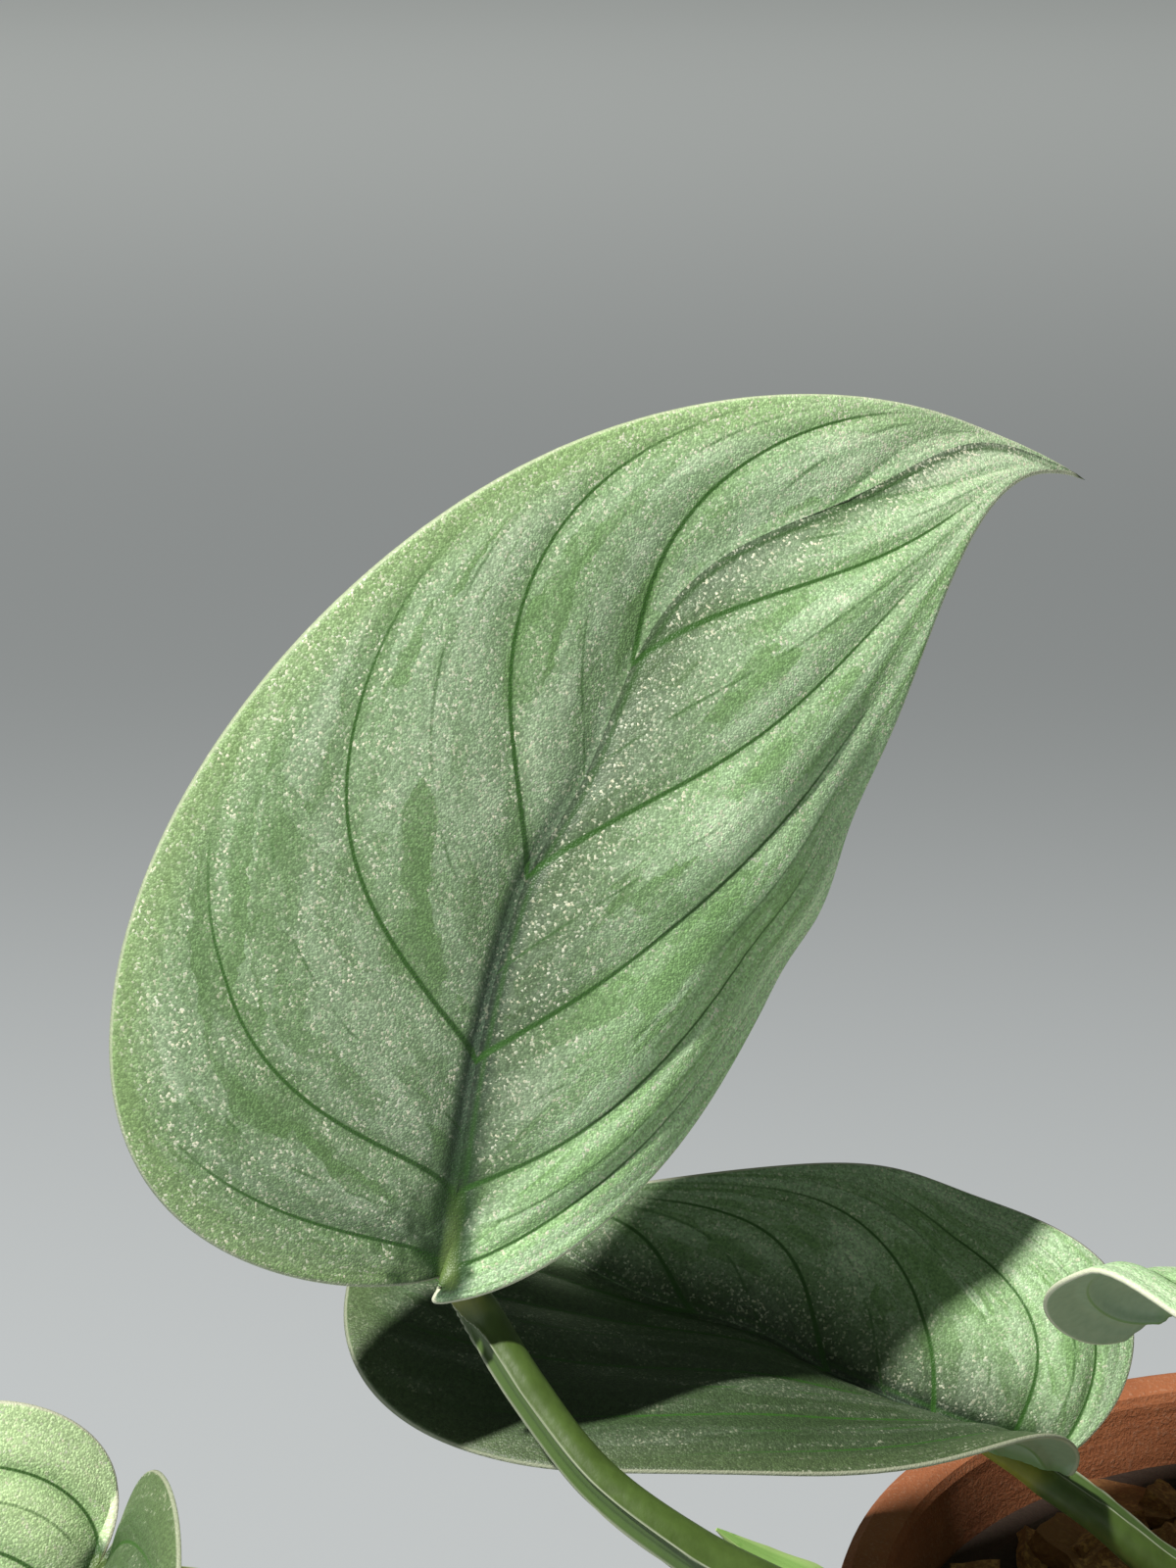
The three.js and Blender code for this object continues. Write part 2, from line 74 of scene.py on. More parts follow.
def makeNode(tree, kind, inputs, settings):
    node = tree.nodes.new(kind)
    for name, value in settings.items():
        setattr(node, name, value)
    for key, value in (inputs or {}).items():
        feed(node.inputs[key], value)
    return node


# A new node, of which one output is used (put) or all of them by name (putAll)
def put(tree, kind, inputs=None, output=0, **settings):
    return Value(tree, makeNode(tree, kind, inputs, settings).outputs[output])


def putAll(tree, kind, inputs=None, **settings):
    node = makeNode(tree, kind, inputs, settings)
    return {socket.name: Value(tree, socket) for socket in node.outputs}


# A new group. An input is given as its usual value, or as the word for its kind of socket.
def startTree(name, kind, inputs, outputs):
    tree = bpy.data.node_groups.new(name, kind)
    words = {int: "Int", float: "Float"}
    for side, sockets in (("INPUT", inputs), ("OUTPUT", outputs)):
        for label, value in sockets.items():
            word = words.get(type(value), value)
            made = tree.interface.new_socket(name=label, in_out=side, socket_type="NodeSocket" + word)
            if word is not value:
                made.default_value = value
    given = {socket.name: Value(tree, socket) for socket in tree.nodes.new("NodeGroupInput").outputs}
    return tree, given, tree.nodes.new("NodeGroupOutput").inputs


def vectorMath(operation, first, *others, output=0):
    inputs = dict(enumerate((first, *others)))
    return put(first.tree, "ShaderNodeVectorMath", inputs, output, operation=operation)


def stretch(direction, amount):
    return put(direction.tree, "ShaderNodeVectorMath", {0: direction, 3: amount}, operation="SCALE")


def split(vector):
    return list(putAll(vector.tree, "ShaderNodeSeparateXYZ", {0: vector}).values())


def combine(x, y, z=0.0):
    return put(x.tree, "ShaderNodeCombineXYZ", {0: x, 1: y, 2: z})


def larger(first, second):
    return first.calc("MAXIMUM", second)


# Rises softly from 0 at low to 1 at high (step), or falls from 1 to 0 there (fall)
def step(value, low, high):
    inputs = {0: value, 1: low, 2: high}
    return put(value.tree, "ShaderNodeMapRange", inputs, interpolation_type="SMOOTHSTEP")


def fall(value, low, high):
    return 1 - step(value, low, high)


# Falls from 1 to 0 with the distance from a line, like a bell
def bell(distance, width):
    share = distance / width
    return (share * share * -1).calc("EXPONENT")


def noise(place, scale, detail=2.0, roughness=0.5, output=0):
    inputs = {"Vector": place, "Scale": scale, "Detail": detail, "Roughness": roughness}
    return put(place.tree, "ShaderNodeTexNoise", inputs, output)


# Three random values of the cell at each place, and how far off its middle is
def cells(place, scale):
    made = putAll(place.tree, "ShaderNodeTexVoronoi", {"Vector": place, "Scale": scale})
    return *split(made["Color"]), made["Distance"]


def mixColour(share, first, second):
    return put(share.tree, "ShaderNodeMix", {0: share, 6: first, 7: second}, 2, data_type="RGBA")


def dim(colour, amount):
    inputs = {0: 1.0, 6: colour, 7: combine(amount, amount, amount)}
    return put(amount.tree, "ShaderNodeMix", inputs, 2, data_type="RGBA", blend_type="MULTIPLY")


def attribute(tree, name, output="Fac"):
    return put(tree, "ShaderNodeAttribute", None, output, attribute_name=name)


def named(tree, name, kind="FLOAT"):
    return put(tree, "GeometryNodeInputNamedAttribute", {"Name": name}, data_type=kind)


def store(geometry, name, value, kind="FLOAT"):
    inputs = {"Geometry": geometry, "Name": name, "Value": value}
    return put(geometry.tree, "GeometryNodeStoreNamedAttribute", inputs, data_type=kind, domain="POINT")


def join(*parts):
    node = parts[0].tree.nodes.new("GeometryNodeJoinGeometry")
    for part in parts:
        feed(node.inputs[0], part)
    return Value(parts[0].tree, node.outputs[0])


def shadeSmooth(geometry, smooth):
    inputs = {"Geometry": geometry, "Shade Smooth": smooth}
    return put(geometry.tree, "GeometryNodeSetShadeSmooth", inputs)


def finishTree(geometry, material, out):
    real = put(geometry.tree, "GeometryNodeRealizeInstances", {0: geometry})
    painted = put(geometry.tree, "GeometryNodeSetMaterial", {"Geometry": real, "Material": material})
    feed(out[0], painted)
    return geometry.tree


# A mesh of points with edges or faces, and named values on its points
def meshFrom(name, points, edges, faces, values):
    mesh = bpy.data.meshes.new(name)
    mesh.from_pydata(np.asarray(points).tolist(), edges, faces)
    for key, column in values.items():
        data = np.asarray(column, float)
        vector = data.ndim == 2
        made = mesh.attributes.new(key, "FLOAT_VECTOR" if vector else "FLOAT", "POINT")
        made.data.foreach_set("vector" if vector else "value", data.ravel())
    return mesh


def show(name, data):
    made = bpy.data.objects.new(name, data)
    scene.collection.objects.link(made)
    return made


# The object that a tree makes of a mesh, with the tree's result kept as its own mesh
def grow(name, mesh, tree, sizes, material):
    piece = show(name, mesh)
    modifier = piece.modifiers.new(name, "NODES")
    modifier.node_group = tree
    values = {**sizes, "Material": material}
    for item in tree.interface.items_tree:
        if item.item_type == "SOCKET" and item.in_out == "INPUT" and item.name in values:
            modifier[item.identifier] = values[item.name]
    graph = bpy.context.evaluated_depsgraph_get()
    made = bpy.data.meshes.new_from_object(
        piece.evaluated_get(graph), preserve_all_data_layers=True, depsgraph=graph)
    piece.modifiers.remove(modifier)
    piece.data = made
    return piece


def standFor(piece, node):
    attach(piece, "root")
    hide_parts(node)
    print("made", piece.name, len(piece.data.polygons), "faces")


# A material, its tree and the object's own coordinates in it
def startMaterial(name):
    material = bpy.data.materials.new(name)
    material.use_nodes = True
    tree = material.node_tree
    return material, tree, put(tree, "ShaderNodeTexCoord", None, "Object")


# Relief is given in millimetres
def finishMaterial(material, colour, roughness, height=None, relief=0.0, strength=1.0):
    skin = material.node_tree.nodes["Principled BSDF"]
    feed(skin.inputs["Base Color"], colour)
    feed(skin.inputs["Roughness"], roughness)
    if height is not None:
        inputs = {"Height": height, "Distance": relief * mm, "Strength": strength}
        feed(skin.inputs["Normal"], put(height.tree, "ShaderNodeBump", inputs))
    return material


# Silver leaf: a silvery film in blocky patches over green, sunken green veins, a dark midrib
# that turns pale at the stalk, a cream rim, painted glints and painted light and shade. Widths
# are millimetres on the blade. A scale is in waves per metre. A pair is where something starts
# and is full, or starts to fade and is gone: a share of the blade's length, of the way from the
# midrib to the margin (outer, right, veinEnd), a number of side veins (firstVein, lastVein) or
# millimetres from a line (edgeBand, thinVein, paleWidth).
leafLook = {
    "silver": (0.385, 0.545, 0.33),
    "frost": (0.54, 0.70, 0.46),
    "green": (0.19, 0.34, 0.13),
    "veinGreen": (0.035, 0.12, 0.015),
    "ribGreen": (0.055, 0.10, 0.065),
    "wedgeGreen": (0.015, 0.06, 0.006),
    "paleBase": (0.15, 0.23, 0.065),
    "edgeGreen": (0.34, 0.52, 0.21),
    # Painted glow: yellow green of light coming through a blade
    "glowGreen": (0.50, 0.66, 0.34),
    "cream": (0.80, 0.80, 0.62),
    # glint and warmGlint are painted glints on bright grains
    "glint": (0.85, 0.90, 0.74),
    "warmGlint": (0.92, 0.90, 0.66),
    "nib": (0.05, 0.07, 0.02),
    "under": (0.26, 0.38, 0.23),
    "underLight": (0.38, 0.50, 0.32),
    # Painted light and shade: how much lighter each part is painted in the middle, towards the margin, on
    # the left half and its margin, on the right half and its lower part, in the left lobe and at the left
    # of the tip
    "middlePaintedLight": 0.4,
    "outerPaintedLight": 0.24,
    "leftPaintedLight": 0.42,
    "leftPaintedLightFade": -0.18,
    "rightPaintedLight": 0.55,
    "lowRightPaintedLight": 0.35,
    "lobePaintedShade": -0.18,
    "tipPaintedLight": 0.36,
    "tipFilm": 0.34,
    "tipGlints": 0.13,
    "patchAcross": 2.2,
    "patchAlong": 4.2,
    "usualVeinGap": 8,
    "usualHalfWidth": 25,
    "grain": 0.17,
    "veinHalfWidth": 0.26,
    "veinEndWidth": 0.07,
    "haloWidth": 0.9,
    "ribBand": 2.1,
    "creaseGap": 0.55,
    "creaseWidth": 0.2,
    "wedgeWidth": 1.6,
    "leftWedgeExtra": 3.8,
    "rimWidth": 0.3,
    "relief": 0.055,
    "wobbleScale": 700.0,
    "fineScale": 9000.0,
    "raggedScale": 600.0,
    "clumpScale": 420.0,
    "mottleScale": 1600.0,
    "tip": (0.72, 0.95),
    "tipShade": (0.62, 0.85),
    "tipVeins": (0.8, 0.96),
    "low": (0.3, 0.75),
    "ribPale": (0.4, 0.72),
    "wedgeEnd": (0.17, 0.34),
    "paleEnd": (0.1, 0.24),
    "nibStart": (0.984, 0.994),
    "outer": (0.05, 0.6),
    "right": (0.05, 0.5),
    "veinEnd": (0.72, 0.97),
    "firstVein": (-1.7, -1.0),
    "lastVein": (3.6, 4.4),
    "edgeBand": (0.4, 4.5),
    "thinVein": (0.04, 0.17),
    "paleWidth": (0.1, 1.1),
}


# How far each place is from the nearest side vein, in veins and in millimetres
def veinGap(number, pitch):
    turn = abs((number + 0.5).calc("FRACT") - 0.5)
    return turn, turn * pitch


def leafSkinTree():
    look = leafLook
    tree, given, out = startTree(
        "leafSkin", "ShaderNodeTree",
        {"Vein": "Vector", "Place": "Vector", "Spot": "Vector", "State": "Vector", "Upper": 1.0},
        {"Colour": "Color", "Roughness": "Float", "Height": "Float"})
    spot, upper = given["Spot"], given["Upper"]
    number, across, pitch = split(given["Vein"])
    ribGap, edge, share = split(given["Place"])
    # The state holds extra film, a painted glow of light through the blade and painted light and shade
    # for each half
    extraFilm, paintedGlow, paintedBladeLight = split(given["State"])
    away = abs(across)
    leftSide = across < 0.0
    outer = step(away, *look["outer"])
    late = step(share, *look["tip"])
    low = fall(share, *look["low"])

    # Patches of silver film, longer along the side veins than across them
    wobble = noise(spot, look["wobbleScale"]) * 0.5
    alongVein = across * (look["usualHalfWidth"] / look["patchAlong"]) + wobble
    acrossVein = number * (look["usualVeinGap"] / look["patchAcross"]) + wobble
    patch = combine(acrossVein, alongVein)
    mass = noise(patch, 0.42, 3.0) + cells(patch, 1.0)[0] * 0.3 + cells(patch, 2.3)[1] * 0.2
    mass = mass + extraFilm + late * look["tipFilm"]
    film = step(mass, 0.42, 0.98)

    # Grains of the film, each with a tone of its own
    bead, tint, spark, offMiddle = cells(spot, 1 / (look["grain"] * mm))
    fine = noise(spot, look["fineScale"], 1.0)
    speck = bead * 0.75 + fine * 0.6
    colour = mixColour(film, look["green"], look["silver"])
    colour = mixColour(step(mass, 0.86, 1.12) * 0.8, colour, look["frost"])
    band = leftSide * fall(edge, *look["edgeBand"]) * (late * -0.7 + 1)
    colour = mixColour(band * 0.75, colour, look["edgeGreen"])
    # Painted glow: yellow green of light coming through the blade
    colour = mixColour(paintedGlow, colour, look["glowGreen"])

    # Painted light and shade: darker along the middle and in the left lobe, paler towards the right
    # margin and the tip, and each half as light as its blade paints it
    tone = outer * look["outerPaintedLight"] + look["middlePaintedLight"]
    tone = tone + leftSide * (outer * look["leftPaintedLightFade"] + look["leftPaintedLight"])
    tone = tone + step(across, *look["right"]) * (low * look["lowRightPaintedLight"] + look["rightPaintedLight"])
    tone = tone + leftSide * step(share, *look["tipShade"]) * look["tipPaintedLight"]
    tone = tone + leftSide * low * outer * look["lobePaintedShade"]
    shade = tone * paintedBladeLight

    # Veins: main ones at whole numbers, faint broken ones half way between
    turn, gap = veinGap(number, pitch)
    between = (0.5 - turn) * pitch
    half = away ** 0.6 * (look["veinEndWidth"] - look["veinHalfWidth"]) + look["veinHalfWidth"]
    reach = step(number, *look["firstVein"]) * fall(number, *look["lastVein"])
    reach = reach * fall(away, *look["veinEnd"]) * (step(share, *look["tipVeins"]) * -0.6 + 1)
    line = fall(gap / half, 0.5, 1.5) * reach
    halo = bell(gap, look["haloWidth"]) * reach * 0.55
    dashes = step(noise(patch, 0.9), 0.46, 0.58)
    thin = fall(between, *look["thinVein"]) * dashes * reach * 0.6
    colour = mixColour(halo, colour, look["green"])

    # Midrib: a dark band with a sharp right edge, green wedges beside its foot, a pale foot
    ribWidth = share * (-0.85 * look["ribBand"]) + look["ribBand"]
    rib = fall(ribGap / ribWidth, 0.35, 1.3) * (step(share, *look["ribPale"]) * -0.68 + 0.85)
    crease = bell(ribGap - look["creaseGap"], look["creaseWidth"]) * (1 - leftSide)
    colour = mixColour(rib, colour, look["ribGreen"])
    colour = dim(colour, (speck * 0.8 + 0.52) * shade)
    ragged = noise(spot, look["raggedScale"], 3.0) * 2.4 - 1.15
    wedgeWidth = leftSide * look["leftWedgeExtra"] + look["wedgeWidth"]
    wedge = fall(ribGap / wedgeWidth + ragged, 0.2, 1.3) * fall(share, *look["wedgeEnd"])
    greens = larger(larger(line, thin), crease * 0.6)
    colour = mixColour(greens * 0.92, colour, look["veinGreen"])
    colour = mixColour(wedge * 0.92, colour, look["wedgeGreen"])
    pale = fall(ribGap, *look["paleWidth"]) * fall(share, *look["paleEnd"])
    colour = mixColour(pale * (fine * 0.5 + 0.5), colour, look["paleBase"])

    # Painted glints: bright grains in clumps, then the cream rim and the dark tip
    clump = step(noise(spot, look["clumpScale"]), 0.42, 0.66) * 0.5 + 0.5
    shine = step(late * look["tipGlints"] + spark, 0.82, 0.96)
    shine = shine * step(film - larger(greens, wedge), 0.0, 0.6) * clump * (rib * -0.9 + 1) * paintedBladeLight
    colour = mixColour(shine, colour, mixColour(tint, look["glint"], look["warmGlint"]))
    rimLine = fall(edge, 0.5 * look["rimWidth"], look["rimWidth"]) * (leftSide * -0.45 + 0.85)
    colour = mixColour(rimLine, colour, look["cream"])
    colour = mixColour(step(share, *look["nibStart"]), colour, look["nib"])

    # Underside: plain dull green with darker veins
    mottle = noise(spot, look["mottleScale"], 3.0) * 1.1 - 0.25
    below = mixColour(mottle, look["under"], look["underLight"])
    below = mixColour(larger(line, rib), below, look["green"])
    below = mixColour(rimLine * 0.8, below, look["cream"])

    feed(out["Colour"], mixColour(upper, below, colour))
    feed(out["Roughness"], shine * upper * -0.2 + 0.48)
    feed(out["Height"], (1 - offMiddle) * (bead * 0.7 + 0.3) * upper)
    return tree


def leafMaterialFrom(group):
    material, tree, spot = startMaterial("silverLeaf")
    inputs = {label: attribute(tree, label.lower(), "Vector") for label in ("Vein", "Place", "State")}
    inputs = {**inputs, "Upper": attribute(tree, "upper"), "Spot": spot}
    made = putAll(tree, "ShaderNodeGroup", inputs, node_tree=group)
    return finishMaterial(material, made["Colour"], made["Roughness"], made["Height"], leafLook["relief"])


# Stems and stalks: green, olive near the blades that also paints the blade's shade on the stalk and the
# light through it, a dark groove between two pale edges
stemLook = {
    "green": (0.06, 0.105, 0.018),
    "light": (0.11, 0.18, 0.045),
    "shadedOlive": (0.27, 0.28, 0.03),
    "shadedOliveStart": (0.84, 0.94),
    "groove": (0.08, 0.14, 0.04),
    "edge": (0.75, 0.80, 0.62),
    "root": (0.30, 0.19, 0.08),
    "streaks": (2.6, 2.6, 1.0),
    "roughness": 0.42,
    "relief": 0.08,
}


def stemMaterialFrom():
    look = stemLook
    material, tree, spot = startMaterial("greenStem")
    share, kind, hollow, wing = [attribute(tree, name) for name in ("share", "kind", "hollow", "wing")]
    mottle = noise(spot, 260.0, 4.0, 0.6)
    streaks = noise(vectorMath("MULTIPLY", spot, look["streaks"]), 500.0, 3.0)
    stalk = (kind > 0.5) * (kind < 1.5)
    colour = mixColour(mottle * 0.9 - 0.25, look["green"], look["light"])
    # Painted shade: olive where the blade shades the stalk's end, brightened as lit through
    colour = mixColour(step(share + mottle * 0.12, *look["shadedOliveStart"]) * stalk, colour, look["shadedOlive"])
    colour = dim(colour, streaks * 0.5 + 0.75)
    colour = mixColour(hollow * 0.85, colour, look["groove"])
    colour = mixColour(step(wing, 0.55, 1.0) * 0.6, colour, look["edge"])
    colour = mixColour(step(kind, 1.5, 2.0), colour, look["root"])
    return finishMaterial(material, colour, look["roughness"], streaks, look["relief"], 0.6)


# New leaf: light green with fine deeper streaks along it
youngLook = {
    "light": (0.42, 0.60, 0.22),
    "deep": (0.22, 0.42, 0.10),
    "streaks": (1.0, 3.0, 3.0),
    "roughness": 0.45,
}


def youngMaterialFrom():
    look = youngLook
    material, tree, spot = startMaterial("youngLeaf")
    streaks = noise(vectorMath("MULTIPLY", spot, look["streaks"]), 500.0, 3.0)
    seam = attribute(tree, "hollow") * 0.8
    colour = mixColour(larger(step(streaks, 0.5, 0.7), seam), look["light"], look["deep"])
    return finishMaterial(material, colour, look["roughness"])


# Fired clay: orange brown with paler bloom, fine pores and faint turning lines
clayLook = {
    "body": (0.42, 0.15, 0.06),
    "dark": (0.30, 0.095, 0.035),
    "bloom": (0.62, 0.42, 0.30),
    "poreSize": 0.35,
    "turning": (0.04, 0.04, 1.0),
    "bloomHeight": 30,
    "roughness": 0.9,
    "relief": 0.25,
}


def clayMaterialFrom():
    look = clayLook
    material, tree, spot = startMaterial("clay")
    broad = noise(spot, 45.0, 5.0, 0.6)
    pores = noise(spot, 1 / (look["poreSize"] * mm), 3.0, 0.7)
    lines = noise(vectorMath("MULTIPLY", spot, look["turning"]), 900.0)
    low = fall(split(spot)[2], 0.0, look["bloomHeight"] * mm)
    film = step(broad + low * 0.15, 0.55, 0.8)
    colour = mixColour(step(broad, 0.35, 0.65), look["body"], look["dark"])
    colour = mixColour(step(pores, 0.5, 0.75) * 0.3, colour, look["bloom"])
    colour = mixColour(film * 0.55, colour, look["bloom"])
    return finishMaterial(material, colour, look["roughness"], pores * 0.6 + lines * 0.5, look["relief"])


# Bark chips of several tones over near-black fibre, which also paints the shade in the gaps between chips
barkLook = {
    "tan": (0.72, 0.40, 0.13),
    "brown": (0.30, 0.13, 0.045),
    "fibreAndGapShade": (0.035, 0.02, 0.012),
    "grain": (1.0, 3.0, 2.0),
    "roughness": 0.85,
    "relief": 0.5,
}


def barkMaterialFrom():
    look = barkLook
    material, tree, spot = startMaterial("barkMix")
    tone = attribute(tree, "tone")
    grain = noise(vectorMath("MULTIPLY", spot, look["grain"]), 420.0, 5.0, 0.65)
    pits = noise(spot, 1500.0, 3.0, 0.6)
    colour = mixColour(tone * 0.8 + (grain * 1.2 - 0.55), look["brown"], look["tan"])
    colour = mixColour(step(pits, 0.62, 0.45), colour, look["brown"])
    # The plug under the chips is near black, which paints the shade in the gaps between them
    colour = mixColour(tone < -0.5, colour, look["fibreAndGapShade"])
    return finishMaterial(material, colour, look["roughness"], grain + pits * 0.5, look["relief"])


# Pale floor with painted light and shade: darker near the pot, a painted band of soft shade across it
# some way behind the pot, paler far back; in metres
floorLook = {
    "near": (0.44, 0.47, 0.50),
    "middle": (0.25, 0.27, 0.285),
    "far": (0.64, 0.68, 0.70),
    "shadeBandFrom": 0.15,
    "shadeBandTo": 0.5,
    "farTo": 1.4,
    "roughness": 0.85,
    "halfSize": 10,
}


def floorMaterialFrom():
    look = floorLook
    material, tree, spot = startMaterial("floor")
    behind = split(spot)[1]
    # Painted shade: a soft grey band behind the pot, then paler far back
    colour = mixColour(step(behind, look["shadeBandFrom"], look["shadeBandTo"]), look["near"], look["middle"])
    colour = mixColour(step(behind, look["shadeBandTo"], look["farTo"]), colour, look["far"])
    return finishMaterial(material, colour, look["roughness"])


leafMaterial = leafMaterialFrom(leafSkinTree())
stemMaterial = stemMaterialFrom()
youngMaterial = youngMaterialFrom()
clayMaterial = clayMaterialFrom()
barkMaterial = barkMaterialFrom()
print("made the materials")


def smooth(low, high, value):
    share = np.clip((value - low) / (high - low), 0, 1)
    return share * share * (3 - 2 * share)


def unit(vector):
    return vector / np.linalg.norm(vector)


# Shape rules shared by all blades: the flat midrib strip and the reach of a full fold in
# millimetres, then places in shares of the blade's length. Ripples are waves along a margin.
bladeRules = {
    "ribHalfWidth": 0.7,
    "foldWidth": 4,
    "foldReach": 0.16,
    "ribLean": 1.7,
    "lobeShare": 0.42,
    "lobeReach": 0.25,
    "zigzagStart": 0.25,
    "zigzagFull": 0.4,
    "zigzagFade": 0.85,
    "zigzagPeak": 0.39,
    "zigzagPitch": 0.34,
    "rippleCount": 3.5,
    "rippleOffset": 0.4,
    "lapFade": (-1, 7),
    "calmWidth": (1, 8),
    "ribSteps": 48,
    "rows": 120,
    "columns": 44,
}

# Side veins: where the first one leaves the midrib and how far apart they leave it, in shares
# of the length, how far they sweep towards the tip on the left and the right half, how many
# millimetres apart they may be, and which numbers the two ends of the midrib have
veinRules = {
    "first": 0.195,
    "pitch": 0.155,
    "leave": 0.8,
    "sweep": [(0.25, 0.12), (0.155, 0.31)],
    "gapRange": (2, 18),
    "endGap": 4,
    "footNumber": -1.26,
    "tipNumber": 5.2,
}


# One half of a blade laid flat. lobe is how far its first curve pulls out and back from the
# stalk, shoulder and flank are the pulls below and above the widest place, tip is the pull
# out from and back along the midrib where the half runs out.
def halfOf(width, widest, lobe, shoulder, flank, tip):
    return {"width": width, "widest": widest, "lobe": lobe,
            "shoulder": shoulder, "flank": flank, "tip": tip}


def plainHalf(width, length):
    lobe, tip = (0.06 * length, 0.1 * length), (1.5, 0.24 * length)
    return halfOf(width, 0.25 * length, lobe, 0.2 * length, 0.27 * length, tip)


# What a half's colour is unless its blade says otherwise: extra silver film, share of a painted
# yellow-green glow of light through the blade, and painted light and shade as a brightness
bladeState = {
    "film": (0, 0),
    "paintedGlow": (0, 0),
    "tone": (1, 1),
}

# A blade starts where its stalk meets it (base). Heading turns it from +Y towards -X, pitch
# lifts it, roll turns it about its midrib. sweep bends the midrib to the blade's right and
# droop bends it down, in degrees per blade length. fold lifts each half from the midrib,
# cup adds to that near the stalk, curl turns it down again in degrees per millimetre. lap
# lifts the right lobe over the left one at the foot. film, the glow and tone are as in bladeState:
# the glow is painted light through a half, tone its painted light and shade. Pairs are for the left and
# the right half.
blades = {
    "blade_1": {
        "base": (-75.4, -29.5, 123.6), "heading": -31.4, "pitch": 76.9, "roll": 46.4,
        "length": 96, "twist": -13.7, "zigzag": 1, "wave": 0.3,
        "sweep": (5, 73, 116, 111, 133), "droop": (-1, 25, 60, 79, 110),
        "halves": (
            halfOf(27.3, 18.3, (4.2, 1.4), 20.4, 20.9, (1.7, 25.4)),
            halfOf(25.4, 33.5, (-7.6, 6.5), 29.3, 33.9, (1.9, 20.3)),
        ),
        "fold": (15.5, 13.3), "cup": (0, 0), "curl": (1.09, 2.59), "lap": 0.9,
    },
    "blade_2": {
        "base": (-26.9, -7.8, 95.4), "heading": 93, "pitch": 25.4, "roll": -18.3,
        "length": 65.8, "twist": -36, "zigzag": 0.6, "wave": 0.3,
        "sweep": (4, 43, -4, 30, 2), "droop": (11, 28, 28, 35, 50),
        "halves": (
            halfOf(26, 39.9, (5.1, 6.3), 15.3, 20.8, (1.6, 12.2)),
            halfOf(19.5, 13.8, (6.3, 5.2), 21.1, 18.2, (0.6, 25.9)),
        ),
        "fold": (46, 27.8), "cup": (25, 22), "curl": (1.54, 1.32), "film": (-0.15, 0),
        # tone paints the left half deep in shade and the right half a little shaded
        "tone": (0.3, 0.75),
    },
    "blade_3": {
        "base": (-99.6, -43.6, 108.2), "heading": 154.5, "pitch": -48.6, "roll": -8.8,
        "length": 63.3, "twist": 0, "zigzag": 0.6, "wave": 0.5,
        "sweep": (-13, -15, -10, -5, -1), "droop": (18, 27, 35, 44, 51),
        "halves": (
            halfOf(20.3, 5.9, (2.1, 12.5), 11.4, 16.6, (1.5, 16)),
            halfOf(20, 3.3, (-2.6, 13.6), 13.1, 16.6, (1.5, 16)),
        ),
        "fold": (45.7, 28.2), "cup": (24, 23), "curl": (1.67, 1.52), "film": (-0.2, 0.15),
        # The right half is painted with a glow of light through it, the left half painted in shade
        "paintedGlow": (0, 0.75), "tone": (0.5, 0.85),
    },
    "blade_4": {
        "base": (-21.2, -24.8, 118.9), "heading": -94.8, "pitch": 38.8, "roll": 9.5,
        "length": 43.3, "twist": 26, "zigzag": 0.4, "wave": 0.4,
        "sweep": (44, 22, 8, 5, 1), "droop": (16, 30, 39, 47, 52),
        "halves": (
            halfOf(16.6, 17.1, (-1, 3), 5.6, 13, (1.5, 12.5)),
            halfOf(19.6, 5, (-3.2, 11.2), 14, 12.5, (1.5, 12.5)),
        ),
        "fold": (15.5, 27.6), "cup": (10.5, 37), "curl": (1.51, 1.39), "lap": 0.6, "film": (0.1, 0.1),
    },
    "blade_5": {
        "base": (27, 17, 115), "heading": -72, "pitch": 12, "roll": 8,
        "length": 78, "twist": -12, "zigzag": 0.8, "wave": 0.7,
        "sweep": (0, 20, 30, 35, 25), "droop": (8, 26, 38, 48, 60),
        "halves": (plainHalf(22, 78), plainHalf(20, 78)),
        "fold": (20, 22), "cup": (18, 18), "curl": (1.4, 1.5),
    },
    "blade_6": {
        "base": (37, -27, 104), "heading": -131, "pitch": -6, "roll": -10,
        "length": 68, "twist": 10, "zigzag": 0.7, "wave": 0.7,
        "sweep": (0, -12, -24, -30, -20), "droop": (14, 30, 42, 50, 60),
        "halves": (plainHalf(18, 68), plainHalf(20, 68)),
        "fold": (22, 20), "cup": (18, 18), "curl": (1.5, 1.4),
    },
    "blade_7": {
        "base": (9, 19, 141), "heading": -12, "pitch": 34, "roll": 6,
        "length": 60, "twist": 8, "zigzag": 0.6, "wave": 0.6,
        "sweep": (0, 15, 25, 30, 20), "droop": (10, 30, 44, 55, 70),
        "halves": (plainHalf(17, 60), plainHalf(18, 60)),
        "fold": (24, 22), "cup": (18, 18), "curl": (1.5, 1.5),
    },
}

# Relief of a blade, in millimetres. veinEnd is a share of the way to the margin, and ribStart,
# ribEnd, quiltTip and footEnd are shares of the length.
reliefLook = {
    "veinEnd": (0.6, 0.98),
    "quiltFromRib": (0.5, 5),
    "quiltFromEdge": (0, 7),
    "quiltTip": (0.7, 0.95),
    "quiltPower": 1.3,
    "ribStart": (0.12, 0.3),
    "ribEnd": (0.42, 0.74),
    "flatEdge": (0, 1.5),
    "footWidth": 0.75,
    "footEnd": (0.12, 0.27),
    "footEdge": (0, 0.8),
    "weld": 0.01,
    "tree": {
        "Thickness": 0.5, "Rim Width": 0.45, "Rib Width": 0.9, "Rib Depth": 0.45, "Vein Width": 0.45,
        "Vein Depth": 0.16, "Quilt Height": 0.35, "Under Ridge": 0.6, "Foot Height": 0.06,
    },
}


